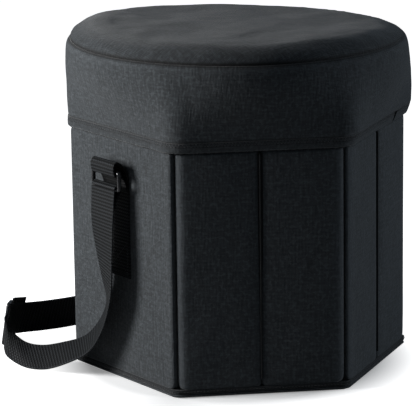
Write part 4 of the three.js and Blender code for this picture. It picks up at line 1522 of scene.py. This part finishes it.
def crown_skin():
    shares = 1 - (1 - np.linspace(0, 1, CROWN_RINGS)) ** 1.9
    shares = shares[shares > CENTRE_HOLE]
    angle, share = np.meshgrid(np.linspace(0, 2 * math.pi, LID_STEPS + 1), shares)
    reach = share * CROWN_EDGE
    x, y = reach * np.cos(angle), reach * np.sin(angle)
    to_seam = CROWN_EDGE - reach
    rise = 1 - np.clip(to_seam / SHOULDER, 0, 1)
    hollow = SEAT_HOLLOW * np.clip(1 - (reach / HOLLOW_RADIUS) ** 2, 0, 1)
    height = crown_top(x, y) * (1 - rise**2) ** SHOULDER_POWER - hollow
    z = SEAM_HEIGHT - UNDER_REACH + (height + crown_relief(x, y, angle, to_seam, rise))
    level = np.full(angle.shape, SKIRT_HEIGHT)
    reach = reach - SEAM_PULL * fall_off(to_seam, 0.0012)
    outside = around_lid(angle, level, reach, z)
    inner_z = np.maximum(z - SKIN, SEAM_HEIGHT - 0.0006)
    inside = around_lid(angle, level, reach * 0.99, inner_z)[::-1]
    middle = np.broadcast_to(outside[:1].mean(axis=1, keepdims=True), outside[:1].shape)
    points = np.vstack((middle, outside, inside, middle - np.array((0, 0, SKIN))))
    flat = np.stack((x, y), axis=2)
    flat = np.vstack((flat[:1] * 0, flat, flat[::-1], flat[:1] * 0))
    wear_and_painted_light = bell(to_seam - RIM_RUB_PLACE, RIM_RUB_WIDTH) * RIM_RUB
    # painted shade in the groove along the seam
    wear_and_painted_light = wear_and_painted_light - SEAM_PAINTED_SHADE * bell(to_seam, 0.0016)
    wear_and_painted_light = np.vstack((wear_and_painted_light[:1] * 0, wear_and_painted_light, 0 * wear_and_painted_light, wear_and_painted_light[:1] * 0))
    return build("crown_cloth", [patch(points, flat, wear_and_painted_light, True)], [SEAT], ROUND_SHARP)


crown = crown_skin()
dress(crown, "lid", "seat", "lid_crown", "seat_foam")
print("crown faces:", len(crown.data.polygons))

# %% [markdown]
# ## The bottom
#
# The floor of the bag is a cloth tray round a stiff board. Its rim shows as a narrow band under the
# walls, with a seam half way up and a pleat at each corner. One profile is carried round the
# hexagon, so the rim has the same section everywhere but at the pleats. From just below its seam
# upwards the rim is painted dark, as painted shade under the walls.

# %% Fold the bottom's cover
BOTTOM_LIP = 0.0022
BOTTOM_CORNER = 0.005
BOTTOM_STEPS = 300
CENTRE_REACH = 0.02
PLEAT_WIDTH = 0.012
PLEAT_DEPTH = 0.0012
bottom_profile = [
    (CENTRE_REACH, 0.0002),
    (APOTHEM - 0.0045, 0.0),
    (APOTHEM - 0.0016, 0.0003),
    (APOTHEM - 0.0004, 0.0012),
    (APOTHEM, 0.0022),
    (APOTHEM - 0.0006, 0.0031),
    (APOTHEM - 0.0013, 0.0035),
    (APOTHEM - 0.0006, 0.0039),
    (APOTHEM - 0.0001, 0.0048),
    (APOTHEM, 0.0070),
    (APOTHEM - 0.0006, 0.0080),
    (APOTHEM - BOTTOM_LIP, 0.0079),
    (APOTHEM - BOTTOM_LIP, 0.0016),
    (CENTRE_REACH, 0.0015),
]
BELOW_SEAM, AT_SEAM, ABOVE_SEAM = 5, 6, slice(7, 12)


def hexagon_loop(reach, radius, steps):
    angles = np.linspace(0, 2 * math.pi, steps + 1)
    distance = hexagon_reach(angles, reach, radius)
    return np.stack((distance * np.cos(angles), distance * np.sin(angles)), axis=1), angles


def bottom_skin():
    rows = []
    flats = []
    runs = lengths(np.array(bottom_profile))
    for (reach, z), run in zip(bottom_profile, runs):
        loop, angles = hexagon_loop(reach, min(BOTTOM_CORNER, reach * 0.5), BOTTOM_STEPS)
        if 0 < z < 0.0079 and reach > 0.1:
            pleat = bell(np.mod(angles, SIXTH) - SIXTH / 2, PLEAT_WIDTH) * PLEAT_DEPTH
            loop = loop * (1 - (pleat / reach)[:, None])
        rows.append(np.column_stack((loop, np.full(len(loop), z))))
        flats.append(np.column_stack((angles * APOTHEM, np.full(len(loop), run))))
    wear_and_painted_light = np.zeros((len(rows), BOTTOM_STEPS + 1))
    # painted shade: the rows at the seam and above it, under the walls
    wear_and_painted_light[BELOW_SEAM], wear_and_painted_light[AT_SEAM], wear_and_painted_light[ABOVE_SEAM] = -0.4, -1.0, -0.7
    return build("bottom_cloth", [patch(rows, flats, wear_and_painted_light, True, True)], [COVER], CLOTH_SHARP)


bottom = bottom_skin()
dress(bottom, "base", "cover", "bottom_cover")
print("bottom faces:", len(bottom.data.polygons))

# %% [markdown]
# ## Under the lid
#
# The underside of the lid is lined with the same grey film as the inside of the bag. It only shows
# when the lid is open, so a flat skin with a rounded rim is enough.

# %% Line the lid
LINING_REACH = APOTHEM - HEM_LAYERS - 0.0016
LINING_CORNER = 0.0035
LINING_STEPS = 120
LINING_MIDDLE = 0.012
lining_profile = [
    (LINING_MIDDLE, 0.0),
    (LINING_REACH - 0.006, 0.0001),
    (LINING_REACH - 0.001, 0.0003),
    (LINING_REACH, 0.0007),
    (LINING_REACH - 0.001, 0.0012),
    (LINING_MIDDLE, 0.0012),
]


def lining_skin():
    rows = []
    flats = []
    for reach, z in lining_profile:
        loop, _ = hexagon_loop(reach, min(LINING_CORNER, reach * 0.5), LINING_STEPS)
        rows.append(np.column_stack((loop, np.full(len(loop), LID_BOTTOM + z))))
        flats.append(loop)
    return build("lid_lining_film", [patch(rows, flats, None, True, True)], [LINING], CLOTH_SHARP)


lining = lining_skin()
dress(lining, "lid", "lining", "lid_lining")
print("lining reaches", round(LINING_REACH, 4), "m")

# %% [markdown]
# ## The lid's hinge
#
# A strip of cloth hinges the lid on the top of the right wall. It carries the lid's weight, so it
# is thicker than the walls' strips.

# %% Hang the lid
HINGE_COLUMNS = 40
HINGE_CLOTH = 0.0011
HINGE_STILL = 0.006
HINGE_OVER = 0.001
low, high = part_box("lid_hinge_strip")
hinge_width = high.y - low.y
xs = np.linspace(-hinge_width / 2, hinge_width / 2, HINGE_COLUMNS)
points = on_face("right", xs, low.x - APOTHEM + 0.0006, 0)[:, :2]
normals = np.broadcast_to(face_axes("right")[1][:2], points.shape)
hinge_strip, _ = cloth_strip(
    "lid_hinge_cloth", points, low.z, high.z, HINGE_CLOTH, TRIM, normals
)
start = (low.x, 0, low.z + HINGE_STILL)
end = (low.x, 0, high.z + HINGE_OVER)
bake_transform(hinge_strip)
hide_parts("lid_hinge_strip")

# %% [markdown]
# ## Stitches and zip teeth
#
# A seam is one short stitch again and again, and a zip is one tooth again and again. An array
# modifier could repeat them, but not evenly round corners. Geometry Nodes are made for that: a
# small tree walks along a line, puts a copy at every step, turns it along the line and makes the
# copies a little uneven, always by the same seed.

# %% Build the repeating tree
SMALLEST = 0.82
LARGEST = 1.12
SEED = 7


def small_shape(tree, shape):
    if shape == "stitch":
        return node(tree, "GeometryNodeMeshUVSphere", Segments=6, Rings=5, Radius=0.5)
    return node(tree, "GeometryNodeMeshCube", Size=(1, 1, 1))


def repeat_tree(name, shape):
    """A node tree that repeats a small shape along every edge line of a mesh."""
    tree = bpy.data.node_groups.new(name, "GeometryNodeTree")
    sockets = tree.interface
    sockets.new_socket("Lines", in_out="INPUT", socket_type="NodeSocketGeometry")
    for label in ("Pitch", "Length", "Width", "Height"):
        sockets.new_socket(label, in_out="INPUT", socket_type="NodeSocketFloat")
    sockets.new_socket("Finish", in_out="INPUT", socket_type="NodeSocketMaterial")
    sockets.new_socket("Copies", in_out="OUTPUT", socket_type="NodeSocketGeometry")
    given = tree.nodes.new("NodeGroupInput").outputs
    line = node(tree, "GeometryNodeMeshToCurve", i0=given["Lines"]).outputs[0]
    by_length = {"mode": "LENGTH"}
    places = node(tree, "GeometryNodeCurveToPoints", by_length, Curve=line, Length=given["Pitch"])
    tangent = places.outputs["Tangent"]
    turn = node(tree, "FunctionNodeAlignRotationToVector", {"axis": "X"}, Vector=tangent)
    numbers = {"data_type": "FLOAT"}
    uneven = node(tree, "FunctionNodeRandomValue", numbers, Seed=SEED, i2=SMALLEST, i3=LARGEST)
    size = node(
        tree,
        "ShaderNodeCombineXYZ",
        X=given["Length"],
        Y=given["Width"],
        Z=given["Height"],
    )
    size = node(
        tree,
        "ShaderNodeVectorMath",
        {"operation": "SCALE"},
        i0=size.outputs[0],
        Scale=uneven.outputs[1],
    )
    copies = node(
        tree,
        "GeometryNodeInstanceOnPoints",
        Points=places.outputs["Points"],
        Instance=small_shape(tree, shape).outputs[0],
        Rotation=turn.outputs[0],
        Scale=size.outputs[0],
    )
    real = node(tree, "GeometryNodeRealizeInstances", i0=copies.outputs[0]).outputs[0]
    finished = node(tree, "GeometryNodeSetMaterial", Geometry=real, Material=given["Finish"])
    node(tree, "NodeGroupOutput", i0=finished.outputs[0])
    return tree


STITCHES = repeat_tree("repeat_stitches", "stitch")
TEETH = repeat_tree("repeat_teeth", "tooth")
print("nodes in a tree:", len(STITCHES.nodes))

# %% [markdown]
# A modifier runs the tree on a mesh of bare lines. The copies are then kept as a plain mesh and the
# modifier goes, because the exported model holds meshes only. Each body gets its own mesh of
# copies, because they have to move with it.

# %% Run the tree along lines
def repeat(name, tree, lines, **values):
    """Run a tree along lines of points and keep the copies as a plain mesh."""
    points = []
    edges = []
    for line in lines:
        first = len(points)
        points += [tuple(p) for p in line]
        edges += [(first + i, first + i + 1) for i in range(len(line) - 1)]
    mesh = bpy.data.meshes.new(name)
    mesh.from_pydata(points, edges, [])
    piece = bpy.data.objects.new(name, mesh)
    bpy.context.scene.collection.objects.link(piece)
    modifier = piece.modifiers.new("repeat", "NODES")
    modifier.node_group = tree
    for socket in tree.interface.items_tree:
        if socket.name in values:
            modifier[socket.identifier] = values[socket.name]
    piece.update_tag()
    ready = piece.evaluated_get(bpy.context.evaluated_depsgraph_get())
    piece.data = bpy.data.meshes.new_from_object(ready)
    piece.modifiers.clear()
    piece.data.name = name
    print(name, "has", len(piece.data.polygons), "faces")
    return piece


# %% [markdown]
# ## The seams
#
# The hem has two rows of stitches, the bottom's rim has one, and each sewn strip of the strap has a
# box with a cross in it, the usual way to hold webbing. Each row follows the surface that its
# cloth was made from, a tenth of a millimetre above it.

# %% Sew the seams
ABOVE_CLOTH = 0.0001
SEAM = {"Pitch": 0.0032, "Length": 0.0023, "Width": 0.0007, "Height": 0.0007}
BOX_SEAM = {"Pitch": 0.0026, "Length": 0.0019, "Width": 0.0007, "Height": 0.0007}
HEM_SLIT_HALF = 0.0032 / APOTHEM
HEM_STEPS = 700
LOOP_STEPS = 360
RIM_SEAM_HEIGHT = 0.0060
BOX_HALF = 0.0155
BOX_LOW = 0.1105
BOX_HIGH = 0.1425


def sew(name, lines, body, sizes):
    piece = repeat(name, STITCHES, lines, Finish=THREAD, **sizes)
    piece.data.shade_smooth()
    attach(piece, body)


hem_angles = np.linspace(0, 2 * math.pi - 2 * HEM_SLIT_HALF, HEM_STEPS)
hem_angles = slit_angle + HEM_SLIT_HALF + hem_angles
hem_lines = []
for stitch_row in STITCH_ROWS:
    heights = np.full(hem_angles.shape, stitch_row)
    reach = hem_surface(hem_angles, heights) + ABOVE_CLOTH
    hem_lines.append(around_lid(hem_angles, heights, reach, LID_BOTTOM + heights))
sew("hem_stitches", hem_lines, "lid", SEAM)

rim_line, _ = hexagon_loop(APOTHEM + ABOVE_CLOTH, BOTTOM_CORNER, LOOP_STEPS)
rim_line = np.column_stack((rim_line, np.full(len(rim_line), RIM_SEAM_HEIGHT)))
sew("bottom_stitches", [rim_line], "base", SEAM)

lower_left, lower_right = (-BOX_HALF, BOX_LOW), (BOX_HALF, BOX_LOW)
upper_left, upper_right = (-BOX_HALF, BOX_HIGH), (BOX_HALF, BOX_HIGH)
box = (lower_left, lower_right, upper_right, upper_left, lower_left, upper_right)
cross = (lower_right, upper_left)
for side, body in ANCHOR_BODY.items():
    out = ON_WALL + WEB_THICKNESS / 2 + ABOVE_CLOTH
    lines = [on_face(side, p[:, 0], out, p[:, 1]) for p in (np.array(box), np.array(cross))]
    sew(f"anchor_{side}_stitches", lines, body, BOX_SEAM)

# %% [markdown]
# ## The zip's teeth
#
# Moulded teeth stand on the edge of each tape, one row on the walls and one under the lid. The
# walls' row is cut at every crease and corner, as each wall moves by itself. The lid's row leaves
# out the side of the hinge.

# %% Set the zip's teeth
TOOTH = {"Pitch": 0.0021, "Length": 0.0011, "Width": 0.0022, "Height": 0.0009}
TAPE_DEPTH = 0.001
TEETH_DEPTH = 0.0012
TAPE_END = 0.003
WALL_TEETH_STEPS = 30
WALL_TEETH_HEIGHT = 0.24245
LID_TEETH_REACH = 0.1466
LID_TEETH_CORNER = 0.004
LID_TEETH_HEIGHT = 0.2442
HINGE_TURN = 60
HINGE_MARGIN = 0.02


def zip_teeth(name, line, body):
    piece = repeat(name, TEETH, [line], Finish=ZIP_TEETH, **TOOTH)
    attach(piece, body)


for face, parts in WALLS.items():
    for wall, low, high in parts:
        if wall == "right":
            continue
        start, stop = wall_ends(low, high, TAPE_DEPTH)
        xs = np.linspace(start + TAPE_END, stop - TAPE_END, WALL_TEETH_STEPS)
        zip_teeth(f"{wall}_zip_teeth", on_face(face, xs, -TEETH_DEPTH, WALL_TEETH_HEIGHT), wall)
lid_line, lid_angles = hexagon_loop(LID_TEETH_REACH, LID_TEETH_CORNER, LOOP_STEPS)
hinge_side = np.cos(lid_angles) > math.cos(SIXTH / 2 + HINGE_MARGIN)
away = np.roll(np.arange(len(lid_line) - 1), -HINGE_TURN)
away = [i for i in away if not hinge_side[i]]
lid_line = np.column_stack((lid_line[away], np.full(len(away), LID_TEETH_HEIGHT)))
zip_teeth("lid_zip_teeth", lid_line, "lid")

# %% [markdown]
# ## Zip and boards
#
# The zip's tapes and slider, and the boards inside the walls, have their right shape already. They
# only need their materials, which read Object coordinates, because the frame's solids have no flat
# map.

# %% Finish the hard solids
def finish_of(name):
    if name.endswith("zip_tape"):
        return ZIP_TAPE
    if name in ("zip_slider", "zip_pull"):
        return ENAMEL
    if name == "bottom_board":
        return DARK_BOARD
    if name.endswith("board"):
        return BOARD
    if name.endswith("padding") or name == "seat_foam":
        return FOAM
    if name.startswith("ring") or name == "strap_adjuster":
        return PLASTIC
    return THREAD


for name, solid in nodes.items():
    solid.data.materials.clear()
    solid.data.materials.append(finish_of(name))
print("solids in their finish:", len(nodes))

# %% [markdown]
# ## Light
#
# The photograph was lit from its left side, with a weaker, bluish light from the right. One small
# lamp gives the left side its clear edges, and a broad one fills the right. The world is seen as
# white by the camera, but lights the stool only faintly, and less from above.

# %% Light the stool
LAMP_AIM = Vector((0, 0, 0.17))
DIM_BELOW = 0.13
DIM_ABOVE = 0.04
DIM_TOP = 0.8
SKY = (0.8, 1.0, 1.2, 1)
WHITE = (1, 1, 1, 1)


def area_light(name, direction, distance, size, power, colour=(1, 1, 1)):
    lamp = bpy.data.lights.new(name, "AREA")
    lamp.color = colour
    lamp.shape = "RECTANGLE"
    lamp.size, lamp.size_y = size
    lamp.energy = power
    made = bpy.data.objects.new(name, lamp)
    bpy.context.scene.collection.objects.link(made)
    towards = Vector(direction).normalized()
    made.location = LAMP_AIM + towards * distance
    made.rotation_euler = towards.to_track_quat("Z", "Y").to_euler()
    print(name, "lamp:", power, "W from", round(distance, 2), "m")


def mixed_by_camera(tree, felt, seen):
    """Show seen to the camera itself, and let felt do the lighting."""
    path = node(tree, "ShaderNodeLightPath").outputs["Is Camera Ray"]
    return node(tree, "ShaderNodeMixShader", i0=path, i1=felt, i2=seen).outputs[0]


area_light("key", (-0.84, 0.37, 0.27), 1.0, (0.34, 0.34), 12.2)
area_light("fill", (0.75, -0.42, 0.10), 2.4, (1.2, 0.9), 13, (0.9, 1.0, 1.1))

world = bpy.data.worlds.new("studio")
bpy.context.scene.world = world
world.use_nodes = True
tree = world.node_tree
tree.nodes.clear()
seen = node(tree, "ShaderNodeBackground", Color=WHITE, Strength=1.0).outputs[0]
towards = node(tree, "ShaderNodeTexCoord").outputs["Generated"]
climb = node(tree, "ShaderNodeSeparateXYZ", Vector=towards).outputs["Z"]
dim = between(tree, climb, DIM_BELOW, DIM_ABOVE, 0.0, DIM_TOP)
felt = node(tree, "ShaderNodeBackground", Color=SKY, Strength=dim).outputs[0]
node(tree, "ShaderNodeOutputWorld", Surface=mixed_by_camera(tree, felt, seen))

# %% [markdown]
# ## The floor
#
# The floor is a sheet of white paper. The camera sees it glow white, so that the stool seems to
# stand in front of nothing. Two round spots, one under the body and one at the corner between the
# left and the front left wall, dim the glow, and there the paper's real shadow shows. Towards the
# stool the paper gives back less light than it seems to, so that the dark front stays dark.

# %% Lay the floor
FLOOR_HALF = 6
FLOOR_DROP = 0.0002
DIMMEST = 0.25
SPOTS = (((0.020, 0.0115, 0), 0.145, 0.185), ((0.148, 0.0855, 0), 0.0, 0.13))
corners = [(-1, -1), (1, -1), (1, 1), (-1, 1)]
floor_mesh = bpy.data.meshes.new("floor")
floor_mesh.from_pydata([(x * FLOOR_HALF, y * FLOOR_HALF, 0) for x, y in corners], [], [range(4)])
floor = bpy.data.objects.new("floor", floor_mesh)
floor.location.z = -FLOOR_DROP
bpy.context.scene.collection.objects.link(floor)
paper, tree, where = start_material("floor_paper", False)
finish_material(paper, Base_Color=(0.9, 0.9, 0.9, 1), Roughness=0.9, Specular_IOR_Level=0.1)
glows = []
for centre, near, far in SPOTS:
    off = node(tree, "ShaderNodeMapping", Vector=where, Location=centre).outputs[0]
    off = node(tree, "ShaderNodeVectorMath", {"operation": "LENGTH"}, i0=off).outputs["Value"]
    glows.append(between(tree, off, DIMMEST, 1.0, near, far))
glow = math_node(tree, "MINIMUM", *glows)
shine = node(tree, "ShaderNodeEmission", Color=WHITE, Strength=glow).outputs[0]
dull = node(tree, "ShaderNodeBsdfDiffuse", Color=(0.4, 0.4, 0.4, 1)).outputs[0]
lit = tree.nodes["Principled BSDF"].outputs[0]
glowing = node(tree, "ShaderNodeAddShader", i0=lit, i1=shine).outputs[0]
plug(tree, tree.nodes["Material Output"].inputs["Surface"], mixed_by_camera(tree, dull, glowing))
floor_mesh.materials.append(paper)
print("floor:", 2 * FLOOR_HALF, "m wide")
